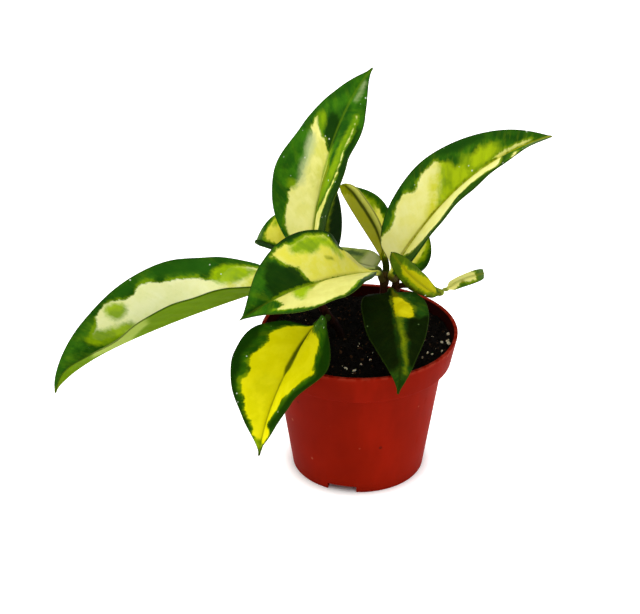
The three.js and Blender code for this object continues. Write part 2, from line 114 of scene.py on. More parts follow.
class Signal:
    def __init__(self, finish, socket):
        self.finish = finish
        self.socket = socket

    def maths(self, operation, *values):
        inputs = dict(enumerate((self, *values)))
        return self.finish.add("ShaderNodeMath", {"operation": operation}, inputs)

    def __add__(self, other):
        return self.maths("ADD", other)

    def __radd__(self, other):
        return self.maths("ADD", other)

    def __sub__(self, other):
        return self.maths("SUBTRACT", other)

    def __rsub__(self, other):
        return self.maths("MULTIPLY_ADD", -1.0, other)

    def __mul__(self, other):
        return self.maths("MULTIPLY", other)

    def __rmul__(self, other):
        return self.maths("MULTIPLY", other)

    def __abs__(self):
        return self.maths("ABSOLUTE")

    def ramp(self, low, high):
        """0 below low, 1 above high, smooth between; the other way round where low > high."""
        inputs = {"Value": self, "From Min": min(low, high), "From Max": max(low, high)}
        if low > high:
            inputs.update({"To Min": 1.0, "To Max": 0.0})
        return self.finish.add("ShaderNodeMapRange", {"interpolation_type": "SMOOTHSTEP"}, inputs)

    def between(self, low, high):
        """The same for a place or a height, with low and high in millimetres."""
        return self.ramp(low * MM, high * MM)


class Finish:
    """One surface finish: a material with its shader and the nodes that feed it."""

    def __init__(self, name, **fixed):
        self.material = bpy.data.materials.new(name)
        self.material.use_nodes = True
        self.tree = self.material.node_tree
        self.shader = self.tree.nodes["Principled BSDF"]
        for socket, value in fixed.items():
            self.shader.inputs[socket.replace("_", " ")].default_value = value

    def plug(self, socket, value):
        if isinstance(value, Signal):
            self.tree.links.new(value.socket, socket)
        elif value is not None:
            socket.default_value = value

    def add(self, kind, settings=None, inputs=None, output=0):
        node = self.tree.nodes.new(kind)
        for key, value in (settings or {}).items():
            setattr(node, key, value)
        for key, value in (inputs or {}).items():
            self.plug(node.inputs[key], value)
        return Signal(self, node.outputs[output])

    def feed(self, socket, value):
        self.plug(self.shader.inputs[socket], value)

    def blend(self, factor, first, second):
        """Colour that goes from first to second as factor goes from 0 to 1."""
        return self.add("ShaderNodeMix", {"data_type": "RGBA"}, {0: factor, 6: first, 7: second}, output=2)

    def place(self):
        return self.add("ShaderNodeTexCoord", output="Object")

    def kept(self, name, output="Fac"):
        """A value or vector that the mesh keeps at its points."""
        return self.add("ShaderNodeAttribute", {"attribute_name": name}, output=output)

    def parts(self, vector):
        """The three components of a vector, a signal each."""
        first = self.add("ShaderNodeSeparateXYZ", None, {0: vector})
        return [Signal(self, output) for output in first.socket.node.outputs]

    def scaled(self, vector, scale):
        settings = {"operation": "MULTIPLY"}
        return self.add("ShaderNodeVectorMath", settings, {0: vector, 1: scale})

    def grain(self, vector, scale, detail=3.0, roughness=0.55):
        """Cloudy noise, about 0.5 on average."""
        inputs = {"Vector": vector, "Scale": scale, "Detail": detail, "Roughness": roughness}
        return self.add("ShaderNodeTexNoise", None, inputs)

    def specks(self, vector, scale, size, share):
        """1 in small round specks, in a share of the cells of the given scale."""
        cell = {"Vector": vector, "Scale": scale}
        near = self.add("ShaderNodeTexVoronoi", None, cell, output="Distance")
        chance = self.add("ShaderNodeTexVoronoi", None, cell, output="Color")
        chosen = self.add("ShaderNodeSeparateColor", None, {0: chance}).maths("LESS_THAN", share)
        return near.ramp(size, size * 0.55) * chosen

    def bump(self, height, distance, strength=1.0):
        inputs = {"Height": height, "Distance": distance, "Strength": strength}
        self.feed("Normal", self.add("ShaderNodeBump", None, inputs))


def colour(red, green, blue):
    """A colour as read off a screen, 0 to 255, as light."""
    def light(level):
        level /= 255
        return level / 12.92 if level <= 0.04045 else ((level + 0.055) / 1.055) ** 2.4
    return (light(red), light(green), light(blue), 1.0)


table_finish = Finish("white_table", Roughness=0.9, Emission_Strength=TABLE_GLOW)
table_tone = table_finish.grain(table_finish.place(), 3.0)
table_finish.feed("Base Color", table_finish.blend(table_tone, (0.93, 0.93, 0.93, 1), (0.97, 0.97, 0.97, 1)))
table_across, table_back, _ = table_finish.parts(table_finish.place())
table_away = (table_across * table_across + table_back * table_back).maths("SQRT")
table_glow = table_away.between(GLOW_FROM, GLOW_FULL)
table_finish.feed("Emission Color", table_finish.blend(table_glow, (0, 0, 0, 1), (1, 1, 1, 1)))

table_mesh = bpy.data.meshes.new("table")
table_corners = [(x * TABLE_REACH, y * TABLE_REACH, 0) for x, y in ((-1, -1), (1, -1), (1, 1), (-1, 1))]
table_mesh.from_pydata(table_corners, [], [(0, 1, 2, 3)])
table_mesh.materials.append(table_finish.material)
table = bpy.data.objects.new("table", table_mesh)
bpy.context.scene.collection.objects.link(table)


# Pot: one injection-moulded shell of satin polypropylene, with a wider collar round the top,
# a raised floor with drain holes, and three notches in the foot ring to let water out.

POT_HEIGHT = 61.0
RIM_RADIUS = 40.0
COLLAR_BOTTOM_RADIUS = 37.5
COLLAR_BOTTOM = 48.9
BODY_TOP_RADIUS = 34.3
BODY_TOP = 48.4
BASE_RADIUS = 27.0
COLLAR_WALL = 1.5
BODY_WALL = 1.2
FLOOR_UNDERSIDE = 3.0
FLOOR_TOP = 4.4
FOOT_RING = 2.4
PAD_RADIUS = 9.0
PAD_TAPER = 1
SHELF_CHAMFER = 0.4
NOTCH = (7.2, 12.0, 6.0)
DRAIN_RADIUS = 3.0
DRAIN_CIRCLE = 17.0
DRAIN_HEIGHT = 2
DRAIN_DEPTH = 14
NOTCH_ANGLES = [math.radians(-105 + turn) for turn in (0, 120, 240)]
CORNER_RADIUS = 0.45
POT_SIDES = 224
SHELF = COLLAR_BOTTOM + BODY_WALL


def mix(a, b, t):
    return a + (b - a) * t


def smooth(low, high, x):
    t = np.clip((np.asarray(x, float) - low) / (high - low), 0, 1)
    return t * t * (3 - 2 * t)


def outer_radius(z):
    if z <= BODY_TOP:
        return mix(BASE_RADIUS, BODY_TOP_RADIUS, z / BODY_TOP)
    return mix(COLLAR_BOTTOM_RADIUS, RIM_RADIUS, (z - COLLAR_BOTTOM) / (POT_HEIGHT - COLLAR_BOTTOM))


def inner_radius(z):
    if z < SHELF:
        return outer_radius(min(z, BODY_TOP)) - BODY_WALL
    return outer_radius(z) - COLLAR_WALL


def placed(name, mesh):
    made = bpy.data.objects.new(name, mesh)
    bpy.context.scene.collection.objects.link(made)
    return made


def shaped(name, points, faces, finish):
    """A mesh piece from points in millimetres."""
    mesh = bpy.data.meshes.new(name)
    mesh.from_pydata([tuple(p) for p in np.asarray(points, float) * MM], [], [tuple(f) for f in faces])
    mesh.materials.append(finish.material)
    return placed(name, mesh)


def fitted(made, slot, *replaced, sharp=None):
    """The finished piece takes its place on the plant's one body."""
    made.data.shade_smooth()
    if sharp is not None:
        made.data.set_sharp_from_angle(angle=math.radians(sharp))
    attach(made, "root")
    if replaced:
        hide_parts(*replaced)


def revolved(profile, sides):
    """Points and faces of a closed solid turned about the upright axis; both ends on the axis."""
    points = [(0, 0, profile[0][1])]
    for radius, z in profile[1:-1]:
        for side in range(sides):
            angle = 2 * math.pi * side / sides
            points.append((radius * math.cos(angle), radius * math.sin(angle), z))
    points.append((0, 0, profile[-1][1]))
    rings = len(profile) - 2
    faces = []
    for side in range(sides):
        after = (side + 1) % sides
        faces.append((0, 1 + after, 1 + side))
        for ring in range(rings - 1):
            low, high = 1 + ring * sides, 1 + (ring + 1) * sides
            faces.append((low + side, low + after, high + after, high + side))
        last = 1 + (rings - 1) * sides
        faces.append((last + side, last + after, len(points) - 1))
    return points, faces


def rounded(profile, radius, steps=4, most=0.45):
    """The profile with its corners rounded to a radius, or to a share of a side that is short."""
    out = [profile[0]]
    for before, corner, after in zip(profile, profile[1:], profile[2:]):
        a, b, c = (np.array(p, float) for p in (before, corner, after))
        reach = min(radius, most * np.linalg.norm(a - b), most * np.linalg.norm(c - b))
        start = b + (a - b) / np.linalg.norm(a - b) * reach
        end = b + (c - b) / np.linalg.norm(c - b) * reach
        for t in np.linspace(0, 1, steps + 1):
            out.append(tuple((1 - t) ** 2 * start + 2 * t * (1 - t) * b + t * t * end))
    return out + [profile[-1]]


def cutter(place, make, **sizes):
    """A solid to cut with, made about the origin and moved to its place."""
    mesh = bpy.data.meshes.new("cutter")
    shape = bmesh.new()
    make(shape, **sizes)
    bmesh.ops.transform(shape, matrix=place, verts=shape.verts)
    shape.to_mesh(mesh)
    shape.free()
    return placed("cutter", mesh)


pot_plastic = Finish(
    "terracotta_plastic", IOR=1.5, Specular_IOR_Level=0.012,
    Subsurface_Weight=0.05, Subsurface_Radius=(0.004, 0.001, 0.0005), Subsurface_Scale=1.0,
)
pot_place = pot_plastic.place()
pot_cloud = pot_plastic.grain(pot_place, 26.0, 4.0)
pot_flow = pot_plastic.grain(pot_plastic.scaled(pot_place, (90, 90, 14)), 1.0, 3.0)
pot_dust = pot_plastic.specks(pot_place, scale=260.0, size=0.22, share=0.05)
pot_pits = pot_plastic.specks(pot_place, scale=120.0, size=0.12, share=0.10)
pot_across, pot_back, pot_height = pot_plastic.parts(pot_place)
pot_away = (pot_across * pot_across + pot_back * pot_back).maths("SQRT")
collar_slope = (RIM_RADIUS - COLLAR_BOTTOM_RADIUS) / (POT_HEIGHT - COLLAR_BOTTOM)
collar_start = COLLAR_BOTTOM_RADIUS - COLLAR_BOTTOM * collar_slope
pot_depth = collar_start * MM - (pot_away - pot_height * collar_slope)
# Painted shade: the collar's inner wall, from the soil's shelf up to just under the rim, is painted near
# black.
pot_inner_shade = pot_depth.between(0.4, 1.1) * pot_height.between(SHELF - 1.1, SHELF - 0.1)
pot_inner_shade = pot_inner_shade * pot_height.between(POT_HEIGHT, POT_HEIGHT - 0.6)
pot_rim_band = pot_height.between(POT_HEIGHT - 2, POT_HEIGHT + 0.2)
pot_rim_wear = pot_rim_band * pot_plastic.grain(pot_place, 420.0, 2.0).ramp(0.4, 0.62)
pot_scuffs = pot_plastic.grain(pot_plastic.scaled(pot_place, (300, 300, 60)), 1.0, 2.0).ramp(0.66, 0.72)
pot_red = pot_plastic.blend(pot_cloud.ramp(0.3, 0.7), colour(112, 15, 2), colour(128, 20, 3))
pot_red = pot_plastic.blend(pot_flow.ramp(0.45, 0.75) * 0.25, pot_red, colour(156, 26, 8))
pot_red = pot_plastic.blend(pot_rim_wear * 0.15, pot_red, colour(206, 96, 70))
pot_red = pot_plastic.blend(pot_inner_shade * 0.95, pot_red, colour(24, 4, 2))
pot_red = pot_plastic.blend(pot_dust * 0.15, pot_red, colour(222, 150, 120))
pot_red = pot_plastic.blend(pot_pits * 0.7, pot_red, colour(70, 16, 8))
pot_plastic.feed("Base Color", pot_red)
pot_plastic.feed("Roughness", 0.5 + 0.14 * pot_cloud + 0.12 * pot_scuffs + 0.2 * pot_dust)
pot_skin = pot_plastic.grain(pot_place, 900.0, 2.0)
pot_plastic.bump(pot_skin * 0.6 + pot_flow * 0.8 - pot_pits * 0.8 + pot_scuffs * 0.3, 0.00006, 0.7)

pot_profile = [
    (0, 0),
    (PAD_RADIUS - PAD_TAPER, 0),
    (PAD_RADIUS, FLOOR_UNDERSIDE),
    (BASE_RADIUS - FOOT_RING, FLOOR_UNDERSIDE),
    (BASE_RADIUS - FOOT_RING, 0),
    (BASE_RADIUS, 0),
    (outer_radius(20), 20),
    (BODY_TOP_RADIUS, BODY_TOP),
    (COLLAR_BOTTOM_RADIUS, COLLAR_BOTTOM),
    (outer_radius(55), 55),
    (RIM_RADIUS, POT_HEIGHT),
    (RIM_RADIUS - COLLAR_WALL, POT_HEIGHT),
    (inner_radius(SHELF), SHELF),
    (inner_radius(BODY_TOP), SHELF - SHELF_CHAMFER),
    (inner_radius(FLOOR_TOP), FLOOR_TOP),
    (0, FLOOR_TOP),
]
pot = shaped("terracotta_pot", *revolved(rounded(pot_profile, CORNER_RADIUS), POT_SIDES), pot_plastic)
notch_size = Matrix.Diagonal([*(side * MM for side in NOTCH), 1])
at_foot = Matrix.Translation((BASE_RADIUS * MM, 0, 0))
for angle in NOTCH_ANGLES:
    notch = cutter(Matrix.Rotation(angle, 4, "Z") @ at_foot @ notch_size, bmesh.ops.create_cube, size=1)
    centre = Vector((DRAIN_CIRCLE * math.cos(angle), DRAIN_CIRCLE * math.sin(angle), DRAIN_HEIGHT)) * MM
    drain = cutter(
        Matrix.Translation(centre), bmesh.ops.create_cone, cap_ends=True, segments=32,
        radius1=DRAIN_RADIUS * MM, radius2=DRAIN_RADIUS * MM, depth=DRAIN_DEPTH * MM,
    )
    for tool in (notch, drain):
        cut = pot.modifiers.new("cut", "BOOLEAN")
        cut.operation = "DIFFERENCE"
        cut.object = tool
        with bpy.context.temp_override(object=pot, active_object=pot):
            bpy.ops.object.modifier_apply(modifier=cut.name)
        bpy.data.objects.remove(tool)
fitted(pot, "pot_plastic", "pot", sharp=35)


# Potting soil: fine dark peat filled to a few millimetres under the rim, its top crumbly,
# with pale perlite grains and small brown bits of bark lying in it.

GAP = 0.3
SOIL_LEVEL = 57.6
EDGE_DROP = 0.8
SOIL_EDGE = SOIL_LEVEL - EDGE_DROP
SOIL_SECTORS = 168
SOIL_RINGS = 64
STEM_FEET = [(-7, 0), (9, 6), (14.5, 8)]
STEM_CLEARANCE = 1.9
CRUMB_COUNT = 5600
STREWN_PERLITE = 26
PERLITE_REACH = 34
# Perlite grains that show at the front and right: millimetres across, millimetres back, radius
SEEN_PERLITE = [
    (36.3, 3.2, 0.9), (36.2, -1.4, 0.5), (35.6, -3.2, 0.7), (36.0, -5.0, 0.8), (33.4, -4.0, 0.8),
    (33.0, -11.3, 0.6), (27.3, -13.7, 0.7), (28.9, -14.5, 0.6), (26.2, -3.1, 0.5), (34.7, 5.2, 0.5),
    (4.0, -19.3, 0.6), (-5.6, -26.4, 0.7), (-2.4, -27.2, 0.8), (0.4, -23.3, 0.6), (-0.5, -7.2, 0.4),
    (4.9, -33.4, 0.6),
]


def soil_height(x, y):
    """The soil's gentle hollows, and its drop towards the wall."""
    waves = np.sin(x * 0.31 + 1.2) * np.cos(y * 0.27 - 0.6) + 0.6 * np.sin(x * 0.83 - y * 0.71)
    return SOIL_LEVEL + 0.5 * waves - EDGE_DROP * smooth(28, 37, np.hypot(x, y))


def soil_lumps(x, y):
    fine = np.sin(x * 2.1 + 2.0 * np.sin(y * 1.7)) * np.sin(y * 2.3 + 1.6 * np.sin(x * 1.3))
    return 0.16 * fine + 0.07 * np.sin(x * 5.1 + y * 3.7) * np.sin(y * 4.9 - x * 2.9)


soil_finish = Finish("potting_soil", Roughness=0.95, IOR=1.35, Specular_IOR_Level=0.08)
soil_place = soil_finish.place()
soil_clods = soil_finish.grain(soil_place, 700.0, 5.0, 0.7)
soil_damp = soil_finish.grain(soil_place, 60.0, 3.0)
soil_tone = soil_finish.kept("tone")
soil_brown = soil_finish.blend(soil_clods.ramp(0.35, 0.75), colour(3, 2, 1), colour(20, 15, 10))
soil_brown = soil_finish.blend(soil_damp.ramp(0.4, 0.7) * 0.5, soil_brown, colour(6, 4, 3))
soil_brown = soil_finish.blend(soil_tone.ramp(0.84, 0.99), soil_brown, colour(62, 40, 24))
soil_finish.feed("Base Color", soil_brown)
soil_finish.feed("Roughness", 0.82 + 0.15 * soil_clods)
soil_finish.bump(soil_finish.grain(soil_place, 1500.0, 4.0, 0.7), 0.0004, 0.9)

perlite_finish = Finish("perlite", Roughness=0.9, Subsurface_Weight=0.1, Subsurface_Scale=0.001)
perlite_place = perlite_finish.place()
perlite_tone = perlite_finish.kept("tone")
perlite_pores = perlite_finish.grain(perlite_place, 2600.0, 3.0)
perlite_pale = perlite_finish.blend(perlite_tone, colour(224, 210, 178), colour(150, 132, 104))
perlite_pale = perlite_finish.blend(perlite_pores.ramp(0.62, 0.4) * 0.5, perlite_pale, colour(92, 76, 58))
perlite_finish.feed("Base Color", perlite_pale)
perlite_finish.feed("Roughness", 0.8 + 0.15 * perlite_pores)
perlite_finish.bump(perlite_pores, 0.0003, 0.8)


def soil_bed():
    """Closed solid of revolution whose upper rings follow the crumbly surface."""
    shelf = SHELF + GAP
    edge = inner_radius(SOIL_EDGE) - GAP
    wall = [
        (inner_radius(FLOOR_TOP + GAP) - GAP, FLOOR_TOP + GAP),
        (inner_radius(BODY_TOP) - GAP, shelf),
        (inner_radius(SHELF) - GAP, shelf + GAP),
    ]
    top = [(edge * (1 - step / SOIL_RINGS), None) for step in range(SOIL_RINGS)]
    points, faces = revolved([(0, FLOOR_TOP + GAP), *wall, *top, (0, SOIL_LEVEL)], SOIL_SECTORS)
    for index, (x, y, z) in enumerate(points):
        if index > SOIL_SECTORS * len(wall):
            points[index] = (x, y, float(soil_height(x, y) + soil_lumps(x, y)))
    return points, faces


def group(name, inputs):
    """An empty geometry tree with a geometry socket each way and further named inputs."""
    tree = bpy.data.node_groups.new(name, "GeometryNodeTree")
    tree.interface.new_socket("Geometry", in_out="INPUT", socket_type="NodeSocketGeometry")
    for label, kind in inputs.items():
        tree.interface.new_socket(label, in_out="INPUT", socket_type="NodeSocket" + kind)
    tree.interface.new_socket("Geometry", in_out="OUTPUT", socket_type="NodeSocketGeometry")
    return tree, tree.nodes.new("NodeGroupInput"), tree.nodes.new("NodeGroupOutput")


def step(tree, kind, settings=None, inputs=None):
    """One node of a geometry tree with its settings, and its inputs set or linked."""
    node = tree.nodes.new(kind)
    for key, value in (settings or {}).items():
        setattr(node, key, value)
    for key, value in (inputs or {}).items():
        if isinstance(value, bpy.types.NodeSocket):
            tree.links.new(value, node.inputs[key])
        else:
            node.inputs[key].default_value = value
    return node


def grown(name, source, tree, values):
    """The mesh that a geometry tree makes from a source, with the tree's named inputs set."""
    made = placed(name, source)
    modifier = made.modifiers.new("growth", "NODES")
    modifier.node_group = tree
    for item in tree.interface.items_tree:
        if item.in_out == "INPUT" and item.name in values:
            modifier[item.identifier] = values[item.name]
    evaluated = made.evaluated_get(bpy.context.evaluated_depsgraph_get())
    mesh = bpy.data.meshes.new_from_object(evaluated)
    bpy.data.objects.remove(made)
    mesh.name = name
    return placed(name, mesh)


def dressed(tree, given, out, geometry, push):
    """The end of a tree: its points pushed a little, its material set."""
    uneven = step(tree, "GeometryNodeSetPosition", None, {"Geometry": geometry, "Offset": push})
    skin = step(tree, "GeometryNodeSetMaterial", None, {
        "Geometry": uneven.outputs[0], "Material": given.outputs["Finish"],
    })
    tree.links.new(skin.outputs[0], out.inputs[0])
    return tree


def scatter_tree():
    """Crumbs on loose points: each turned at random, stretched at random, then made lumpy."""
    tree, given, out = group("scattered_crumbs", {
        "Detail": "Int", "Seed": "Int", "Lump": "Float", "Lump Scale": "Float", "Finish": "Material",
    })
    ball = step(tree, "GeometryNodeMeshIcoSphere", None, {
        "Radius": 1.0, "Subdivisions": given.outputs["Detail"],
    })
    size = step(tree, "GeometryNodeInputNamedAttribute", None, {"Name": "size"})
    turn = step(tree, "FunctionNodeRandomValue", {"data_type": "FLOAT_VECTOR"}, {
        0: (-3.1, -3.1, -3.1), 1: (3.1, 3.1, 3.1), "Seed": given.outputs["Seed"],
    })
    stretch = step(tree, "FunctionNodeRandomValue", {"data_type": "FLOAT_VECTOR"}, {
        0: (0.7, 0.6, 0.45), 1: (1.5, 1.1, 0.9), "Seed": given.outputs["Seed"],
    })
    scale = step(tree, "ShaderNodeVectorMath", {"operation": "SCALE"}, {
        0: stretch.outputs[0], "Scale": size.outputs[0],
    })
    crumbs = step(tree, "GeometryNodeInstanceOnPoints", None, {
        "Points": given.outputs["Geometry"], "Instance": ball.outputs["Mesh"],
        "Rotation": turn.outputs[0], "Scale": scale.outputs[0],
    })
    real = step(tree, "GeometryNodeRealizeInstances", None, {0: crumbs.outputs[0]})
    cloud = step(tree, "ShaderNodeTexNoise", None, {"Scale": given.outputs["Lump Scale"], "Detail": 1.0})
    centred = step(tree, "ShaderNodeVectorMath", {"operation": "SUBTRACT"}, {
        0: cloud.outputs["Color"], 1: (0.5, 0.5, 0.5),
    })
    push = step(tree, "ShaderNodeVectorMath", {"operation": "SCALE"}, {
        0: centred.outputs[0], "Scale": given.outputs["Lump"],
    })
    return dressed(tree, given, out, real.outputs[0], push.outputs[0])


def loose_points(name, places, sizes, tones):
    """A mesh of points alone, which keep a size and a tone each."""
    mesh = bpy.data.meshes.new(name)
    mesh.from_pydata([tuple(place) for place in np.asarray(places) * MM], [], [])
    for label, values in (("size", np.asarray(sizes) * MM), ("tone", tones)):
        kept = mesh.attributes.new(label, "FLOAT", "POINT")
        kept.data.foreach_set("value", np.asarray(values, np.float32))
    return mesh


def on_soil(x, y, sizes, sunk):
    """Places on the soil's surface, each sunk into it by a share of its size."""
    return np.stack([x, y, soil_height(x, y) + soil_lumps(x, y) - sunk * sizes], 1)


bed = shaped("soil_bed", *soil_bed(), soil_finish)
fitted(bed, "potting_soil", "soil", sharp=60)

chance = np.random.default_rng(11)


def spread(count, reach):
    """Places strewn evenly over a disc, as far out as reach."""
    angle = chance.uniform(0, 2 * math.pi, count)
    radius = reach * np.sqrt(chance.uniform(0, 1, count))
    return radius * np.cos(angle), radius * np.sin(angle)


crumb_x, crumb_y = spread(CRUMB_COUNT, inner_radius(SOIL_EDGE) - 1.0)
crumb_size = 0.22 + 0.75 * chance.uniform(0, 1, CRUMB_COUNT) ** 3
crumb_tone = chance.uniform(0, 1, CRUMB_COUNT)
clear = np.all([np.hypot(crumb_x - x, crumb_y - y) > STEM_CLEARANCE for x, y in STEM_FEET], axis=0)
crumb_places = on_soil(crumb_x, crumb_y, crumb_size, 0.15)
crumb_points = loose_points("crumbs", crumb_places[clear], crumb_size[clear], crumb_tone[clear])
scattered = scatter_tree()
crumbs = grown("soil_crumbs", crumb_points, scattered, {
    "Detail": 1, "Seed": 3, "Lump": 0.5 * MM, "Lump Scale": 900.0, "Finish": soil_finish.material,
})
fitted(crumbs, "potting_soil")

seen_x, seen_y, seen_size = np.array(SEEN_PERLITE).T
strewn_x, strewn_y = spread(STREWN_PERLITE, PERLITE_REACH)
pearl_x = np.concatenate([seen_x, strewn_x])
pearl_y = np.concatenate([seen_y, strewn_y])
strewn_size = 0.25 + 0.25 * chance.uniform(0, 1, STREWN_PERLITE)
pearl_size = np.concatenate([seen_size, strewn_size])
seen_tone = 0.3 * chance.uniform(0, 1, len(SEEN_PERLITE))
strewn_tone = 0.5 + 0.5 * chance.uniform(0, 1, STREWN_PERLITE)
pearl_tone = np.concatenate([seen_tone, strewn_tone])
pearl_points = loose_points("perlite", on_soil(pearl_x, pearl_y, pearl_size, -0.25), pearl_size, pearl_tone)
perlite = grown("perlite_grains", pearl_points, scattered, {
    "Detail": 2, "Seed": 8, "Lump": 0.7 * MM, "Lump Scale": 1100.0, "Finish": perlite_finish.material,
})
fitted(perlite, "potting_soil")


# Stems: three short woody cuttings set in the soil, purple-brown with a green-brown skin
# higher up and swollen where leaves leave; the right one carries a thin side shoot.

FINE_STEPS = 800
STEM_START = 56
STEM_FOOT = 46
STEM_RADIUS = 1.6
SHOOT_RADIUS = 1.2
SIDE_SHOOT = [(14.8, 6.6, 77), (20, 4, 80), (28, 4.5, 79), (34, 5, 74.5)]
STEM_POINTS = 70
KNOT_SWELLING = 0.22
KNOT_LENGTH = 1.3
YOUNG_BARK = (74, 86)
SHADED_FOOT = (72, 62)
GREEN_TIP = (29.5, 32.5)


def unit(vectors):
    return vectors / np.maximum(np.linalg.norm(vectors, axis=-1, keepdims=True), 1e-12)


def even_curve(controls, count):
    """Points at even steps along a cubic curve, their directions, and the curve's length."""
    a, b, c, d = (np.array(control, float) for control in controls)
    t = np.linspace(0, 1, FINE_STEPS + 1)[:, None]
    points = (1 - t) ** 3 * a + 3 * (1 - t) ** 2 * t * b + 3 * (1 - t) * t * t * c + t ** 3 * d
    along = (1 - t) ** 2 * (b - a) + 2 * (1 - t) * t * (c - b) + t * t * (d - c)
    run = np.concatenate([[0], np.cumsum(np.linalg.norm(np.diff(points, axis=0), axis=1))])
    steps = np.linspace(0, run[-1], count + 1)

    def at_steps(rows):
        return np.stack([np.interp(steps, run, column) for column in rows.T], 1)

    return at_steps(points), unit(at_steps(along)), run[-1]


bark = Finish(
    "stem_bark", IOR=1.45, Specular_IOR_Level=0.03, Subsurface_Weight=0.06, Subsurface_Scale=0.001,
)
bark_place = bark.place()
bark_fibres = bark.grain(bark.scaled(bark_place, (1400, 1400, 240)), 1.0, 4.0)
bark_patches = bark.grain(bark_place, 260.0, 3.0)
bark_across, _, bark_height = bark.parts(bark_place)
bark_pores = bark.specks(bark.scaled(bark_place, (1, 1, 1.8)), scale=700.0, size=0.25, share=0.16)
bark_tone = bark.blend(bark_fibres.ramp(0.3, 0.7), colour(26, 7, 5), colour(54, 19, 13))
bark_tone = bark.blend(bark_patches.ramp(0.45, 0.65) * 0.45, bark_tone, colour(48, 34, 10))
bark_tone = bark.blend(bark_height.between(*YOUNG_BARK) * 0.25, bark_tone, colour(80, 84, 16))
bark_tone = bark.blend(bark_height.between(*SHADED_FOOT) * 0.8, bark_tone, colour(9, 5, 4))
bark_tone = bark.blend(bark_across.between(*GREEN_TIP), bark_tone, colour(132, 146, 40))
bark_tone = bark.blend(bark_pores * 0.2, bark_tone, colour(110, 84, 60))
bark.feed("Base Color", bark_tone)
bark.feed("Roughness", 0.5 + 0.3 * bark_fibres)
bark.bump(bark_fibres + bark_pores * 0.5, 0.00022, 0.8)


def stalk_tree():
    """A round stalk along a curve, as thick as the curve says, its skin a little uneven."""
    tree, given, out = group("stalk", {
        "Sides": "Int", "Unevenness": "Float", "Grain": "Float", "Finish": "Material",
    })
    ring = step(tree, "GeometryNodeCurvePrimitiveCircle", None, {
        "Resolution": given.outputs["Sides"], "Radius": 1.0,
    })
    radius = step(tree, "GeometryNodeInputRadius")
    stalk = step(tree, "GeometryNodeCurveToMesh", None, {
        "Curve": given.outputs["Geometry"], "Profile Curve": ring.outputs["Curve"],
        "Scale": radius.outputs["Radius"], "Fill Caps": True,
    })
    cloud = step(tree, "ShaderNodeTexNoise", None, {"Scale": given.outputs["Grain"], "Detail": 3.0})
    level = step(tree, "ShaderNodeMath", {"operation": "SUBTRACT"}, {0: cloud.outputs[0], 1: 0.5})
    amount = step(tree, "ShaderNodeMath", {"operation": "MULTIPLY"}, {
        0: level.outputs[0], 1: given.outputs["Unevenness"],
    })
    normal = step(tree, "GeometryNodeInputNormal")
    push = step(tree, "ShaderNodeVectorMath", {"operation": "SCALE"}, {
        0: normal.outputs[0], "Scale": amount.outputs[0],
    })
    return dressed(tree, given, out, stalk.outputs[0], push.outputs[0])


def stalk_line(rows, radius, knots):
    """Points with a thickness each: swollen at the knots, domed at the growing tip."""
    points, _, length = even_curve(rows, STEM_POINTS)
    run = np.linspace(0, length, len(points))
    swelling = sum(KNOT_SWELLING * np.exp(-((run - knot * length) / KNOT_LENGTH) ** 2) for knot in knots)
    dome = np.sqrt(np.clip(1 - ((run - (length - radius)) / radius).clip(0, 1) ** 2, 0.02, 1))
    return points, radius * (0.97 + swelling) * dome


def stalk_curves(name, lines):
    curve = bpy.data.curves.new(name, "CURVE")
    curve.dimensions = "3D"
    for points, radii in lines:
        spline = curve.splines.new("POLY")
        spline.points.add(len(points) - 1)
        for spot, place, radius in zip(spline.points, points * MM, radii * MM):
            spot.co = (*place, 1)
            spot.radius = radius
    return curve


def stem_line(foot, rows, knots):
    """A stem's line from its foot on the soil's surface, carried straight down into the soil."""
    points, radii = stalk_line([(*foot, STEM_START), *rows], STEM_RADIUS, knots)
    buried = np.array([(*foot, z) for z in (STEM_FOOT, STEM_FOOT + 5)])
    return np.concatenate([buried, points]), np.concatenate([[radii[0]] * 2, radii])


stalks = stalk_tree()
stalk_values = {"Sides": 28, "Unevenness": 0.5 * MM, "Grain": 420.0, "Finish": bark.material}
left_foot, middle_foot, right_foot = STEM_FEET
stems = {
    "left": [
        stem_line(left_foot, [(*left_foot, 64), (-17.5, 4, 66), (-18, 6.5, 80)], (0.3, 0.52, 0.8, 0.93)),
    ],
    "middle": [
        stem_line(middle_foot, [(*middle_foot, 66), (10, 5.5, 76), (10.2, 5, 84.5)], (0.45, 0.84, 0.93)),
    ],
    "right": [
        stem_line(right_foot, [(*right_foot, 66), (14.7, 6.5, 76), (14.8, 6, 84.5)], (0.5, 0.7, 0.9)),
        stalk_line(SIDE_SHOOT, SHOOT_RADIUS, (0.35, 0.68, 0.97)),
    ],
}
for side, lines in stems.items():
    stem = grown(side + "_stem", stalk_curves(side + "_line", lines), stalks, stalk_values)
    fitted(stem, "stem_bark", "stem_" + side, sharp=60)
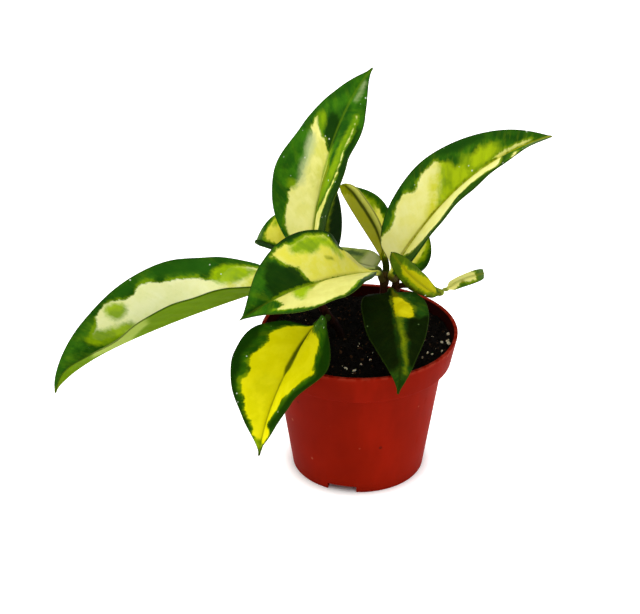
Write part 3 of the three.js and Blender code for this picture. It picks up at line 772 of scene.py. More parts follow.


# Leaves: thick waxy blades on short round leafstalks, folded along a sunken midrib that
# stands out underneath. Each is variegated in its own way: cream or yellow islands and lime
# patches on green, with patches of painted grey-green sheen, all frayed along the side veins.

PETIOLE_RADIUS = 1.4
PETIOLE_BEND = 0.4
PETIOLE_RINGS = 22
BLADE_RINGS = 60
RINGS_PER_MM = 1.3
HALF_COLUMNS = 22
COLUMN_CROWDING = 1.15
EDGE_TURNS = (30, 60, 90)
EDGE_RADIUS = 0.45
TIP_HALF_WIDTH = 0.5
MIDRIB_THICKNESS = 1.6
MARGIN_THICKNESS = 0.7
TIP_THINNING = 0.6
BASE_BLEND = 0.1
FOLD_STEPS = 8
CREASE = 1.8
WAVES = 2.5
HALF_SHIFT = 0.3
SWELL_HEIGHT = 0.22
GROOVE_DEPTH = 0.35
GROOVE_WIDTH = 0.8
KEEL_HEIGHT = 0.45
KEEL_WIDTH = 0.9
VEIN_SPACING = 7.5
VEIN_ALONG = 0.62
VEIN_ACROSS = 0.78
QUILT_HEIGHT = 0.05
OUTLINE_STEP = 0.05
FARTHEST = 20
PATCHES = ("cream", "lime", "sheen", "dark", "tint", "olive")


def half_width(leaf, half, u):
    """Half-width of the blade, no less than the leafstalk's radius at its start."""
    rise, fall = leaf["ends"]
    widest = rise / (rise + fall)
    top = widest ** rise * (1 - widest) ** fall
    swell = leaf["reach"][half] * u ** rise * np.maximum(1 - u, 0) ** fall / top
    return np.hypot(swell, mix(leaf.get("petiole", PETIOLE_RADIUS), TIP_HALF_WIDTH, u))


def fold_at(leaf, half, u):
    """How far a half leans up from flat, in degrees; its folds stand at even steps."""
    folds = np.array(leaf["folds"][half], float)
    place = u * (len(folds) - 1)
    before = np.minimum(np.floor(place).astype(int), len(folds) - 2)
    return folds[before] + (folds[before + 1] - folds[before]) * smooth(0, 1, place - before)


def leaf_line(leaf):
    """Leafstalk and midrib in one row of rings: place, side, up, share of the blade, mm along."""
    corners = np.array(leaf["midrib"])
    reach = np.linalg.norm(np.diff(corners, axis=0), axis=1).sum()
    count = max(BLADE_RINGS, round(reach * RINGS_PER_MM))
    blade, blade_along, length = even_curve(leaf["midrib"], count)
    face = np.array(leaf["face"], float)
    blade_up = unit(face - (blade_along @ face)[:, None] * blade_along)
    leave = unit(np.array(leaf["leaves"], float))
    start = np.array(leaf["knot"], float) + leave * (leaf.get("knot_radius", STEM_RADIUS) + GAP)
    handle = np.linalg.norm(blade[0] - start) * PETIOLE_BEND
    controls = [start, start + leave * handle, blade[0] - blade_along[0] * handle, blade[0]]
    stalk, stalk_along, stalk_length = even_curve(controls, PETIOLE_RINGS)
    stalk_up = [blade_up[0]]
    for along in stalk_along[-2::-1]:
        stalk_up.append(unit(stalk_up[-1] - (stalk_up[-1] @ along) * along))
    line = np.concatenate([stalk[:-1], blade])
    along = np.concatenate([stalk_along[:-1], blade_along])
    up = np.concatenate([np.array(stalk_up[:0:-1]), blade_up])
    u = np.concatenate([np.zeros(PETIOLE_RINGS), np.linspace(0, 1, count + 1)])
    stalk_run = np.linspace(-stalk_length, 0, PETIOLE_RINGS + 1)[:-1]
    run = np.concatenate([stalk_run, np.linspace(0, length, count + 1)])
    return line, np.cross(along, up), up, u, run, length


def half_blade(leaf, half, rows, share):
    """Middle of the blade's thickness over one half, and the way its upper face looks."""
    line, side, up, u = rows[:4]
    sign = (-1, 1)[half]
    width = half_width(leaf, half, u)[:, None]
    fold = fold_at(leaf, half, u)[:, None]
    curl = leaf.get("curl", 0)
    slopes = [np.radians(fold + curl * share * (i + 0.5) / FOLD_STEPS) for i in range(FOLD_STEPS)]
    across = sum(np.cos(slope) for slope in slopes) * share / FOLD_STEPS
    rise = sum(np.sin(slope) for slope in slopes) * share / FOLD_STEPS
    ripple = np.sin(2 * math.pi * (WAVES * u + HALF_SHIFT * half)) * np.sin(math.pi * u)
    lift = width * rise + leaf.get("wave", 0) * ripple[:, None] * share ** 2
    crease = np.radians(fold_at(leaf, 0, u) - fold_at(leaf, 1, u))[:, None] / 2
    lean = mix(crease, -sign * np.radians(fold + curl * share), np.minimum(1, width * share / CREASE))
    place = line[:, None] + side[:, None] * (sign * width * across)[..., None] + up[:, None] * lift[..., None]
    looks = up[:, None] * np.cos(lean)[..., None] + side[:, None] * np.sin(lean)[..., None]
    return place, looks


def blade_sheet(leaf, rows, seed):
    """The middle of the blade's thickness from the left edge to the right one: places, the way
    the upper face looks, share of the half-width, mm across, and how the edge rounds it off."""
    u, run = rows[3:5]
    inner = (np.arange(HALF_COLUMNS + 1) / HALF_COLUMNS) ** COLUMN_CROWDING
    turns = np.radians(EDGE_TURNS)
    rounding = np.concatenate([np.ones(HALF_COLUMNS + 1), np.cos(turns)])
    halves = []
    for half, sign in enumerate((-1, 1)):
        width = half_width(leaf, half, u)[:, None]
        edge = np.minimum(EDGE_RADIUS / width, 0.5)
        share = np.concatenate([inner * (1 - edge), 1 - edge * (1 - np.sin(turns))], axis=1)
        place, look = half_blade(leaf, half, rows, share)
        swell = math.sin(seed) * np.sin(run * 0.21 + seed * 2.1) + np.sin(run * 0.37 + half * 1.9 + seed)
        place = place + look * (SWELL_HEIGHT * swell[:, None] * share ** 2 * (u > 0)[:, None])[..., None]
        grids = (place, look, share * sign, share * width * sign, np.broadcast_to(rounding, share.shape))
        order = slice(None, 0, -1) if half == 0 else slice(None)
        halves.append([grid[:, order] for grid in grids])
    return [np.concatenate(pair, 1) for pair in zip(*halves)]


def all_round(upper, lower):
    """Rows that run over the upper face and back under the lower one, each edge only once."""
    return np.concatenate([upper, lower[:, -2:0:-1]], axis=1)


def leaf_rings(leaf, rows, sheet, seed):
    """Rings of points round the leaf, over its upper face and back under the lower one. Side
    veins quilt the blade, and near its base it turns into the round leafstalk."""
    line, side, up, u, run, _ = rows
    place, look, share, across, rounding = sheet
    thickness = mix(MIDRIB_THICKNESS, MARGIN_THICKNESS, np.sqrt(np.abs(share)))
    thickness = thickness * mix(1, TIP_THINNING, u ** 4)[:, None] * rounding
    ripple = 2 * math.pi * (run[:, None] * VEIN_ACROSS - np.abs(across) * VEIN_ALONG) / VEIN_SPACING
    inside = smooth(1, 5, np.abs(across)) * smooth(1, 0.75, np.abs(share))
    quilt = QUILT_HEIGHT * np.cos(ripple + seed) * inside
    growth = (smooth(0, 0.06, u) * smooth(1, 0.93, u))[:, None]
    groove = GROOVE_DEPTH * np.exp(-(across / GROOVE_WIDTH) ** 2) * growth
    keel = KEEL_HEIGHT * np.exp(-(across / KEEL_WIDTH) ** 2) * growth
    over = place + look * (thickness / 2 + quilt - groove)[..., None]
    under = place + look * (-thickness / 2 + quilt - keel)[..., None]
    blended = smooth(0, BASE_BLEND, u)[:, None, None]
    angle = np.linspace(math.pi, 0, share.shape[1])
    radius = leaf.get("petiole", PETIOLE_RADIUS)
    stalk_side = line[:, None] + side[:, None] * (radius * np.cos(angle))[:, None]
    stalk_rise = up[:, None] * (radius * np.sin(angle))[:, None]
    over = mix(stalk_side + stalk_rise, over, blended)
    under = mix(stalk_side - stalk_rise, under, blended)
    return all_round(over, under)


def ring_faces(count, rings):
    """Faces of a closed tube: a point, then rings of so many points each, then a point."""
    first = 1 + np.arange(count)
    after = 1 + (np.arange(count) + 1) % count
    last = (rings - 1) * count
    faces = []
    for a, b in zip(first, after):
        faces.append((0, b, a))
        faces.append((a + last, b + last, 1 + rings * count))
    for low in range(0, last, count):
        high = low + count
        faces.extend(zip(first + low, after + low, after + high, first + high))
    return faces


def finer(outline):
    """The outline with its long sides split, so that they follow the blade's bent edge."""
    corners = np.array(outline, float)
    out = []
    for here, after in zip(corners, np.roll(corners, -1, axis=0)):
        count = 1 + int(abs(after[0] - here[0]) / OUTLINE_STEP)
        out.extend(here + (after - here) * share for share in np.arange(count) / count)
    return np.array(out)


def depth_inside(outlines, places):
    """How far each place lies inside the nearest of the outlines, negative outside them."""
    depth = np.full(len(places), -float(FARTHEST))
    for outline in outlines:
        after = np.roll(outline, -1, axis=0)
        run = after - outline
        run[np.abs(run).sum(1) < 1e-9] = 1e-9
        offset = places[:, None] - outline
        share = np.clip((offset * run).sum(-1) / (run * run).sum(-1), 0, 1)
        away = np.linalg.norm(offset - share[..., None] * run, axis=-1).min(1)
        height = places[:, 1:]
        spans = (outline[:, 1] > height) != (after[:, 1] > height)
        rise = np.where(np.abs(run[:, 1]) < 1e-9, 1e-9, run[:, 1])
        meets = outline[:, 0] + (height - outline[:, 1]) / rise * run[:, 0]
        inside = (spans & (places[:, :1] < meets)).sum(1) % 2 == 1
        depth = np.maximum(depth, np.where(inside, away, -away))
    return np.clip(depth, -FARTHEST, FARTHEST)


def patch_depths(leaf, length, spots):
    """How far each spot lies inside each kind of colour patch, in millimetres, a column a kind.
    The patches are drawn as shares: along the midrib, then across a half, left of it negative."""
    depths = []
    for kind in PATCHES:
        outlines = []
        for outline in leaf.get(kind, []):
            u, v = finer(outline).T
            width = np.where(v < 0, half_width(leaf, 0, u), half_width(leaf, 1, u))
            outlines.append(np.stack([u * length, v * width], 1))
        depths.append(depth_inside(outlines, spots))
    return np.stack(depths, 1)


def leaf_mesh(name, leaf, finish, seed):
    """One closed skin over leafstalk and blade, with what its finish needs kept at its points."""
    rows = leaf_line(leaf)
    line, _, _, u, run, length = rows
    sheet = blade_sheet(leaf, rows, seed)
    _, _, share, across, _ = sheet
    rings = leaf_rings(leaf, rows, sheet, seed)
    points = np.concatenate([[line[0]], rings.reshape(-1, 3), [line[-1] * 2 - line[-2]]])
    made = shaped(name, points, ring_faces(rings.shape[1], len(line)), finish)

    inwards = 1 - np.abs(share)
    facing = all_round(np.sign(inwards), -np.sign(inwards)).ravel()
    to_edge = np.abs(across) / np.maximum(np.abs(share), 1e-6) * inwards
    grids = (np.broadcast_to(run[:, None], share.shape), across, across * (u > 0)[:, None], to_edge)
    along, across, on_blade, to_edge = (all_round(grid, grid).ravel() for grid in grids)
    depths = patch_depths(leaf, length, np.stack([along, across], 1))
    kept = {
        "place": np.stack([along, on_blade, facing], 1), "edge": to_edge,
        "patches": depths[:, :3], "marks": depths[:, 3:],
    }
    for label, values in kept.items():
        values = np.concatenate([values[:1], values, values[-1:]]).astype(np.float32)
        kind, field = ("FLOAT_VECTOR", "vector") if values.ndim == 2 else ("FLOAT", "value")
        made.data.attributes.new(label, kind, "POINT").data.foreach_set(field, values.ravel())
    return made


def leaf_finish(name, leaf, seed):
    """Waxy leaf skin. Its patches fray along the side veins, which leave the midrib at a slant."""
    finish = Finish(
        name, IOR=1.45, Specular_IOR_Level=leaf["gloss"],
        Subsurface_Weight=0.06, Subsurface_Radius=(0.0015, 0.002, 0.0005), Subsurface_Scale=1.0,
    )
    tone = {kind: colour(*levels) for kind, levels in leaf["tones"].items()}
    place = finish.kept("place", "Vector")
    along, across, facing = finish.parts(place)
    cream_depth, lime_depth, sheen_depth = finish.parts(finish.kept("patches", "Vector"))
    dark_depth, tint_depth, olive_depth = finish.parts(finish.kept("marks", "Vector"))
    margin = finish.kept("edge")
    away = abs(across)
    vein_run = along * VEIN_ALONG + away * VEIN_ACROSS
    vein_gap = along * VEIN_ACROSS - away * VEIN_ALONG
    half = across.ramp(-0.02, 0.02) * 9.0

    def streaks(run_scale, gap_scale, shift, detail=3.0):
        spread = {"X": vein_run * run_scale, "Y": vein_gap * gap_scale, "Z": half + (seed + shift)}
        return finish.grain(finish.add("ShaderNodeCombineXYZ", None, spread), 1.0, detail)

    # Streaks along the side veins, cloudy flesh, and how far they fray a patch's edge
    coarse = streaks(0.08, 0.4, 0.0)
    fine = streaks(0.35, 1.5, 4.3, 4.0)
    flesh = finish.grain(place, 0.16, 4.0)
    blots = finish.grain(place, 0.7, 3.0)
    fray = (coarse - 0.5) * 1.4 + (fine - 0.5) * 0.5 + (blots - 0.5) * 1.1
    cream_share = (cream_depth + fray * 1.5).ramp(-0.4, 0.45)
    brim = (cream_depth + fray * 1.6 + (flesh - 0.5) * 4.0).ramp(-1.6, 0.1)
    lime_share = (lime_depth + fray * 1.6).ramp(-1.7, 1.3)
    sheen_share = (sheen_depth + fray * 1.3).ramp(-1.8, 1.8)
    dark_share = (dark_depth + fray * 1.3).ramp(-1.6, 1.2)
    tint_share = (tint_depth + fray).ramp(-2.0, 2.0)
    olive_share = (olive_depth + fray * 0.3).ramp(-0.7, 0.6)

    # Green flesh, deeper towards the margin and in the dark patches, with a lime brim round cream
    skin = finish.blend(flesh.ramp(0.34, 0.68), tone["deep"], tone["green"])
    skin = finish.blend(coarse.ramp(0.45, 0.75) * 0.12 + fine.ramp(0.5, 0.8) * 0.1, skin, tone["lime"])
    skin = finish.blend(margin.ramp(3.5, 0.6) * 0.45, skin, tone["deep"])
    skin = finish.blend(dark_share * 0.9, skin, tone["dark"])
    skin = finish.blend(brim * 0.45, skin, tone["lime"])

    # Cream or yellow islands, brighter in clouds, tinted near the midrib
    pale = finish.blend(tint_share, tone["cream"], tone["tint"])
    pale = finish.blend(blots.ramp(0.5, 0.8) * 0.12, pale, tone["lime"])
    pale = finish.blend(flesh.ramp(0.4, 0.62) * 0.4 + coarse.ramp(0.4, 0.7) * 0.2, pale, tone["bright"])
    pale = finish.blend(away.ramp(4.5, 0.5) * 0.4, pale, tone["tint"])
    skin = finish.blend(cream_share, skin, pale)

    # Lime patches, mottled with green
    mottle = flesh.ramp(0.44, 0.62) * 0.4 + blots.ramp(0.5, 0.8) * 0.15
    limy = finish.blend(mottle, tone["lime"], tone["green"])
    limy = finish.blend(coarse.ramp(0.42, 0.7) * 0.3, limy, tone["green"])
    skin = finish.blend(lime_share * 0.96, skin, limy)

    # What lies over all of them: underside, painted sheen, olive marks, midrib, flecks, brink, leafstalk
    skin = finish.blend(facing.ramp(0.3, -0.3) * 0.75, skin, tone["under"])
    # Painted sheen: a pale grey-green gloss painted into the colour over these patches.
    skin = finish.blend(sheen_share * 0.8, skin, tone["sheen"])
    # Olive marks: the bands along a midrib are painted shade of its groove, the rest is the leaf's own olive.
    skin = finish.blend(olive_share * 0.85, skin, tone["olive"])
    # The midrib line: partly its own colour, partly painted shade of its groove.
    skin = finish.blend(away.ramp(0.8, 0.2) * 0.45, skin, tone["rib"])
    flecks = finish.specks(finish.scaled(place, (1, 1, 0.1)), scale=0.36, size=0.16, share=0.34)
    flecks = flecks * cream_share.ramp(0.6, 0.1) * flesh.ramp(0.44, 0.54) * facing.ramp(-0.3, 0.3)
    skin = finish.blend(flecks * 0.7, skin, tone["fleck"])
    skin = finish.blend(margin.ramp(0.55, 0.2) * 0.6, skin, tone["brink"])
    skin = finish.blend(along.ramp(1.0, -2.0), skin, tone["stalk"])
    finish.feed("Base Color", skin)
    finish.feed("Roughness", 0.48 + (fine - 0.5) * 0.2 + flecks * 0.3 + facing.ramp(0.3, -0.3) * 0.25)
    veins = (vein_gap * (2 * math.pi / VEIN_SPACING) + coarse * 3.0).maths("SINE")
    cells = finish.grain(place, 4.0, 2.0)
    finish.bump(veins * 0.5 + fine * 0.8 + cells * 0.35, 0.00012, 0.8)
    return finish


CREAM_TONES = {
    "cream": (238, 233, 142), "tint": (226, 220, 84), "bright": (248, 244, 176), "lime": (152, 178, 4),
    "green": (54, 108, 12), "deep": (28, 74, 10), "dark": (16, 46, 4), "sheen": (112, 138, 80),
    "olive": (140, 132, 14), "under": (96, 124, 30), "rib": (130, 136, 30), "fleck": (232, 242, 222),
    "brink": (34, 48, 10), "stalk": (66, 58, 18),
}
YELLOW_TONES = {
    **CREAM_TONES, "cream": (208, 198, 0), "tint": (226, 218, 12), "bright": (228, 220, 30),
    "lime": (146, 168, 2), "green": (50, 96, 8), "deep": (30, 70, 6), "dark": (16, 46, 4),
    "olive": (70, 80, 4), "rib": (110, 112, 4), "stalk": (48, 58, 8), "under": (34, 70, 10),
}
DARK_TONES = {
    **YELLOW_TONES, "cream": (198, 186, 4), "tint": (198, 186, 4), "lime": (150, 166, 20),
    "green": (34, 72, 16), "deep": (20, 48, 8), "dark": (10, 17, 2), "sheen": (124, 138, 84),
    "under": (40, 60, 16), "olive": (90, 90, 6), "rib": (24, 38, 4), "fleck": (84, 104, 60),
}

# What each leaf says: the solid it stands for, its slot and gloss; the knot that its stalk leaves,
# and which way; four places that guide its midrib, and where its face looks; how far its left and
# right half reach, how it swells and narrows, and how its halves fold from base to tip. Then come
# its tones, and its patches as outlines in shares of the midrib and of a half, left ones negative.
# Patches that lay a pale grey-green film over a leaf are painted sheen, a gloss painted into the
# colour; olive patches along a midrib are partly painted shade of its groove.
LEAVES = {}

# Stands up from the left stem, with a broad cream band left of its midrib and a narrow one right.
LEAVES["tall_leaf"] = {
    "solid": "leaf_tall", "slot": "cream_leaf", "gloss": 0.01,
    "knot": (-18, 6.5, 80), "knot_radius": 1.0, "leaves": (0, 0, 1),
    "midrib": [(-18.6, 8, 86.5), (-18, 10, 111.4), (-12.5, 11, 147), (4.2, 14, 168)],
    "face": (-0.45, -0.75, 0.45), "reach": (21, 20.5), "ends": (0.7, 1.17),
    "folds": [[4, 6, 8, -11, -7, 25], [50, 47, 43, 32, 2, -20]], "curl": 6,
    "tones": {
        **CREAM_TONES, "cream": (224, 220, 122), "bright": (238, 234, 156), "lime": (124, 156, 10),
        "rib": (92, 124, 16), "olive": (118, 132, 14), "sheen": (172, 184, 128), "tint": (202, 200, 92),
        "under": (120, 148, 40),
    },
    "cream": [
        [(0, -.8), (.13, -.82), (.16, -.8), (.2, -.74), (.25, -.68), (.28, -.62), (.31, -.64), (.345, -.6),
         (.37, -.5), (.42, -.43), (.46, -.46), (.5, -.45), (.55, -.52), (.6, -.6), (.62, -.72), (.66, -.79),
         (.69, -.8), (.65, -.62), (.625, -.44), (.61, -.36), (.6, -.22), (.575, -.1), (.56, 0), (.52, .1),
         (.46, .1), (.4, .04), (.33, 0), (.28, -.01), (0, 0)],
        [(0, .02), (.24, .04), (.28, .14), (.31, .23), (.35, .35), (.4, .49), (.45, .58), (.5, .62),
         (.58, .64), (.66, .62), (.74, .58), (.78, .575), (.76, .61), (.7, .66), (.6, .69), (.5, .68),
         (.45, .65), (.4, .6), (.35, .51), (.3, .43), (.25, .41), (.2, .38), (0, .38)],
    ],
    "lime": [
        [(.63, -.42), (.65, -.6), (.67, -.73), (.7, -.79), (.715, -.72), (.71, -.6), (.69, -.48),
         (.66, -.43)],
        [(.345, -.68), (.375, -.66), (.38, -.52), (.35, -.5)],
        [(.44, .02), (.54, .12), (.6, .1), (.55, .02)],
        [(.31, .1), (.35, .24), (.4, .38), (.46, .5), (.52, .57), (.6, .6), (.7, .57), (.77, .54),
         (.74, .44), (.66, .4), (.58, .34), (.5, .26), (.42, .18), (.36, .08)],
    ],
    "sheen": [
        [(.36, -.48), (.42, -.5), (.5, -.54), (.56, -.68), (.6, -.68), (.59, -.52), (.55, -.4), (.46, -.36),
         (.38, -.36)],
        [(.84, .24), (.93, .4), (.9, .44), (.84, .3)],
    ],
    "dark": [
        [(.1, .5), (.22, .46), (.3, .48), (.36, .56), (.42, .66), (.5, .73), (.6, .74), (.7, .72),
         (.76, .68), (.74, .9), (.6, 1), (.45, 1.1), (.25, 1.1), (.1, 1.1)],
        [(.6, -.3), (.66, -.38), (.72, -.5), (.74, -.2), (.7, .1), (.6, .1), (.57, 0)],
    ],
    "tint": [
        [(0, .02), (.24, .02), (.3, .12), (.4, .38), (.5, .58), (.56, .6), (.5, .7), (.4, .6), (.3, .45),
         (0, .4)],
        [(.58, -.7), (.72, -.8), (.66, -.5), (.6, -.5)],
        [(.3, -.9), (.36, -.6), (.42, -.5), (.5, -.2), (.6, -.1), (.62, -.3), (.6, -.6), (.5, -.6),
         (.46, -.9)],
        [(.4, -.25), (.6, -.6), (.62, 0), (.5, .2), (.36, .1)],
    ],
    "olive": [
        [(.1, -.05), (.2, -.05), (.3, -.03), (.36, .02), (.44, .1), (.54, .14), (.5, .22), (.42, .2),
         (.34, .12), (.27, .08), (.1, .06)],
    ],
}

# Rises to the upper right, cream on both sides of its midrib, with a lime streak above.
LEAVES["right_leaf"] = {
    "solid": "leaf_right", "slot": "cream_leaf", "gloss": 0.04,
    "knot": (14.8, 6.1, 82), "leaves": (-0.35, -0.93, 0),
    "midrib": [(12.9, 1.5, 85.6), (25.1, 4, 106.8), (42, 6, 133.2), (73.2, 2, 144.8)],
    "face": (-0.3, -0.75, 0.6), "reach": (17.9, 18.5), "ends": (0.67, 0.96),
    "folds": [[31, 24, 20, 16, 10], [43, 54, 56, 56, 60]], "curl": 5, "wave": 0.8,
    "tones": {
        **CREAM_TONES, "cream": (242, 237, 142), "bright": (252, 249, 180), "lime": (172, 194, 16),
        "rib": (190, 184, 24), "tint": (212, 212, 48), "dark": (24, 68, 8),
    },
    "cream": [
        [(0, -1), (.12, -1), (.15, -.88), (.17, -.78), (.2, -.7), (.23, -.72), (.25, -.8), (.28, -.84),
         (.32, -.85), (.345, -.8), (.36, -.67), (.38, -.65), (.4, -.7), (.44, -.77), (.5, -.81),
         (.53, -.79), (.54, -.66), (.52, -.5), (.49, -.32), (.46, -.2), (.44, -.05), (0, 0)],
        [(0, 0), (.1, .05), (.12, .22), (.15, .42), (.2, .6), (.25, .7), (.3, .78), (.35, .82), (.4, .8),
         (.43, .76), (.46, .7), (.49, .62), (.52, .56), (.55, .52), (.6, .5), (.65, .52), (.68, .57),
         (.7, .66), (.72, .76), (.745, .8), (.755, .5), (.755, 0)],
        [(.72, -.1), (.8, -.18), (.88, -.3), (.91, -.25), (.9, -.12), (.82, -.04), (.76, 0)],
        [(.822, .5), (.832, .42), (.842, .6), (.838, 1), (.822, 1)],
    ],
    "lime": [
        [(.39, -.06), (.44, -.24), (.48, -.42), (.535, -.72), (.56, -.62), (.565, -.42), (.6, -.44),
         (.63, -.58), (.645, -.46), (.67, -.5), (.7, -.62), (.715, -.5), (.75, -.62), (.775, -.5),
         (.77, -.34), (.74, -.2), (.7, -.12), (.6, -.05), (.5, -.03), (.39, -.02)],
    ],
    "sheen": [[(.9, .2), (.95, .1), (1, .4), (1, 1), (.88, 1)]],
    "dark": [
        [(.1, .3), (.14, .42), (.2, .62), (.26, .74), (.34, .84), (.42, .82), (.48, .7), (.52, .6),
         (.56, .54), (.64, .54), (.68, .6), (.7, .7), (.73, .8), (.76, .2), (.79, .3), (.78, 1.1),
         (.1, 1.1)],
        [(.55, -.84), (.62, -.74), (.66, -.76), (.74, -.8), (.74, -1), (.55, -1)],
    ],
    "tint": [
        [(.3, -.02), (.37, -.25), (.43, -.5), (.53, -.82), (.56, -.6), (.46, -.2), (.44, -.02)],
        [(0, -.3), (.06, -.3), (.1, .1), (0, .1)],
    ],
    "olive": [
        [(.04, -.1), (.1, -.12), (.2, -.07), (.3, -.045), (.4, -.03), (.4, 0), (.3, -.01), (.2, -.03),
         (.1, -.06)],
    ],
}

# The longest leaf, arching out to the left, cream above its midrib and green below it.
LEAVES["left_leaf"] = {
    "solid": "leaf_left", "slot": "cream_leaf", "gloss": 0.01,
    "knot": (-17.6, 5.7, 76), "leaves": (-1, -0.1, 0),
    "midrib": [(-27.8, 3, 82), (-66.5, -4, 72.7), (-118.5, -16, 56), (-120.7, -25, 46.5)],
    "face": (-0.1, -0.5, 0.85), "reach": (24.4, 23.4), "ends": (0.78, 1),
    "folds": [[52, 70, 71, 62, 82], [-4, 8, 28, 42, 6]],
    "tones": {
        **CREAM_TONES, "cream": (236, 236, 170), "tint": (206, 206, 70), "bright": (248, 248, 202),
        "under": (98, 126, 0), "sheen": (150, 168, 72), "lime": (160, 188, 6), "green": (62, 112, 18),
        "dark": (36, 86, 14),
    },
    "cream": [
        [(0, 0), (.06, .6), (.1, .78), (.17, .78), (.2, .72), (.24, .56), (.26, .46), (.3, .5), (.33, .58),
         (.38, .62), (.42, .64), (.46, .68), (.5, .76), (.53, .8), (.55, .78), (.57, .7), (.6, .7),
         (.62, .75), (.64, .82), (.67, .88), (.7, .88), (.72, .84), (.73, .7), (.735, .6), (.76, .55),
         (.77, .48), (.76, .38), (.74, .28), (.7, .2), (.64, .14), (.5, .1), (.3, .05)],
    ],
    "lime": [
        [(.1, .62), (.16, .44), (.2, .35), (.25, .36), (.28, .5), (.27, .68), (.22, .78), (.16, .78)],
        [(.615, .6), (.625, .48), (.65, .44), (.67, .5), (.685, .65), (.69, .8), (.67, .84), (.64, .75),
         (.62, .68)],
        [(.6, .16), (.66, .11), (.73, .13), (.77, .26), (.79, .43), (.79, .56), (.75, .58), (.725, .46),
         (.69, .38), (.65, .33), (.62, .29)],
    ],
    "sheen": [[(.56, -1.1), (.56, -.6), (.62, -.3), (.64, 0), (.74, 0), (.8, -.3), (.8, -1.1)]],
    "dark": [
        [(.26, .6), (.32, .7), (.38, .74), (.46, .8), (.5, .88), (.46, .96), (.3, .95), (.24, .85)],
        [(.55, .86), (.58, .78), (.61, .8), (.64, .9), (.6, .97)],
    ],
    "tint": [[(0, 0), (.08, .8), (.18, .8), (.22, .5), (.24, .3), (.26, .25), (.2, .1)]],
}

# The broadest leaf, across the middle, cream along both sides of its midrib.
LEAVES["centre_leaf"] = {
    "solid": "leaf_centre", "slot": "cream_leaf", "gloss": 0.03,
    "knot": (10.1, 5.1, 82), "leaves": (-0.4, -0.9, 0), "petiole": 1.2,
    "midrib": [(7.3, 1, 86.1), (-8, -16, 94.1), (-27, -38, 101.3), (-45.8, -45, 90)],
    "face": (-0.1, -0.8, 0.6), "reach": (22, 21), "ends": (1.35, 1.15),
    "folds": [[71, 71, 65, 53, 47, 60], [-45, -2, 26, 20, 20, 50]],
    "tones": {
        **CREAM_TONES, "cream": (212, 208, 112), "tint": (220, 214, 76), "bright": (228, 226, 136),
        "sheen": (188, 186, 116), "olive": (126, 138, 14), "rib": (104, 124, 22), "lime": (158, 188, 0),
    },
    "cream": [
        [(0, -.7), (.15, -.74), (.25, -.78), (.35, -.8), (.42, -.82), (.5, -.88), (.58, -.93), (.66, -.96),
         (.72, -.93), (.76, -.8), (.8, -.74), (.83, -.69), (.84, -.63), (.82, -.6), (.795, -.5),
         (.785, -.35), (.79, -.2), (.795, -.02), (.6, 0), (0, 0)],
        [(0, 0), (.5, .02), (.55, .07), (.57, .2), (.6, .4), (.65, .52), (.68, .65), (.7, .8), (.73, .9),
         (.68, .91), (.64, .9), (.61, .82), (.56, .84), (.52, .9), (.46, .88), (.42, .92), (.38, .86),
         (.34, .75), (.3, .72), (.27, .78), (.24, .87), (.2, 1), (0, 1)],
    ],
    "lime": [
        [(.5, -.01), (.54, -.13), (.6, -.2), (.65, -.32), (.7, -.52), (.71, -.4), (.7, -.2), (.68, -.06),
         (.66, 0)],
        [(.25, .62), (.28, .54), (.32, .6), (.38, .68), (.44, .72), (.47, .61), (.52, .57), (.56, .62),
         (.6, .66), (.62, .78), (.58, .84), (.52, .88), (.46, .88), (.4, .88), (.34, .78), (.28, .72)],
    ],
    "sheen": [[(.08, .6), (.14, .55), (.19, .7), (.2, .85), (.1, .95)]],
    "dark": [
        [(.56, .03), (.6, .3), (.64, .46), (.68, .55), (.71, .75), (.75, .85), (.8, .7), (.8, .05)],
        [(.22, 1.1), (.26, .9), (.3, .83), (.36, .84), (.4, .93), (.46, .94), (.56, .92), (.62, .92),
         (.66, .97), (.66, 1.1)],
        [(0, -1.1), (0, -.8), (.2, -.84), (.4, -.9), (.6, -1), (.6, -1.1)],
    ],
    "tint": [
        [(0, .05), (.54, .05), (.57, .2), (.6, .4), (.65, .52), (.68, .65), (.72, .9), (.3, 1), (0, 1)],
        [(0, -.6), (.12, -.6), (.25, -.45), (.3, -.2), (.3, .05), (0, .05)],
    ],
    "olive": [
        [(.12, -.22), (.25, -.17), (.35, -.12), (.45, -.09), (.54, -.12), (.6, -.24), (.58, -.12),
         (.58, -.02), (.45, -.01), (.3, -.01), (.12, -.01)],
        [(.36, .41), (.42, .43), (.43, .49), (.38, .47)],
    ],
}

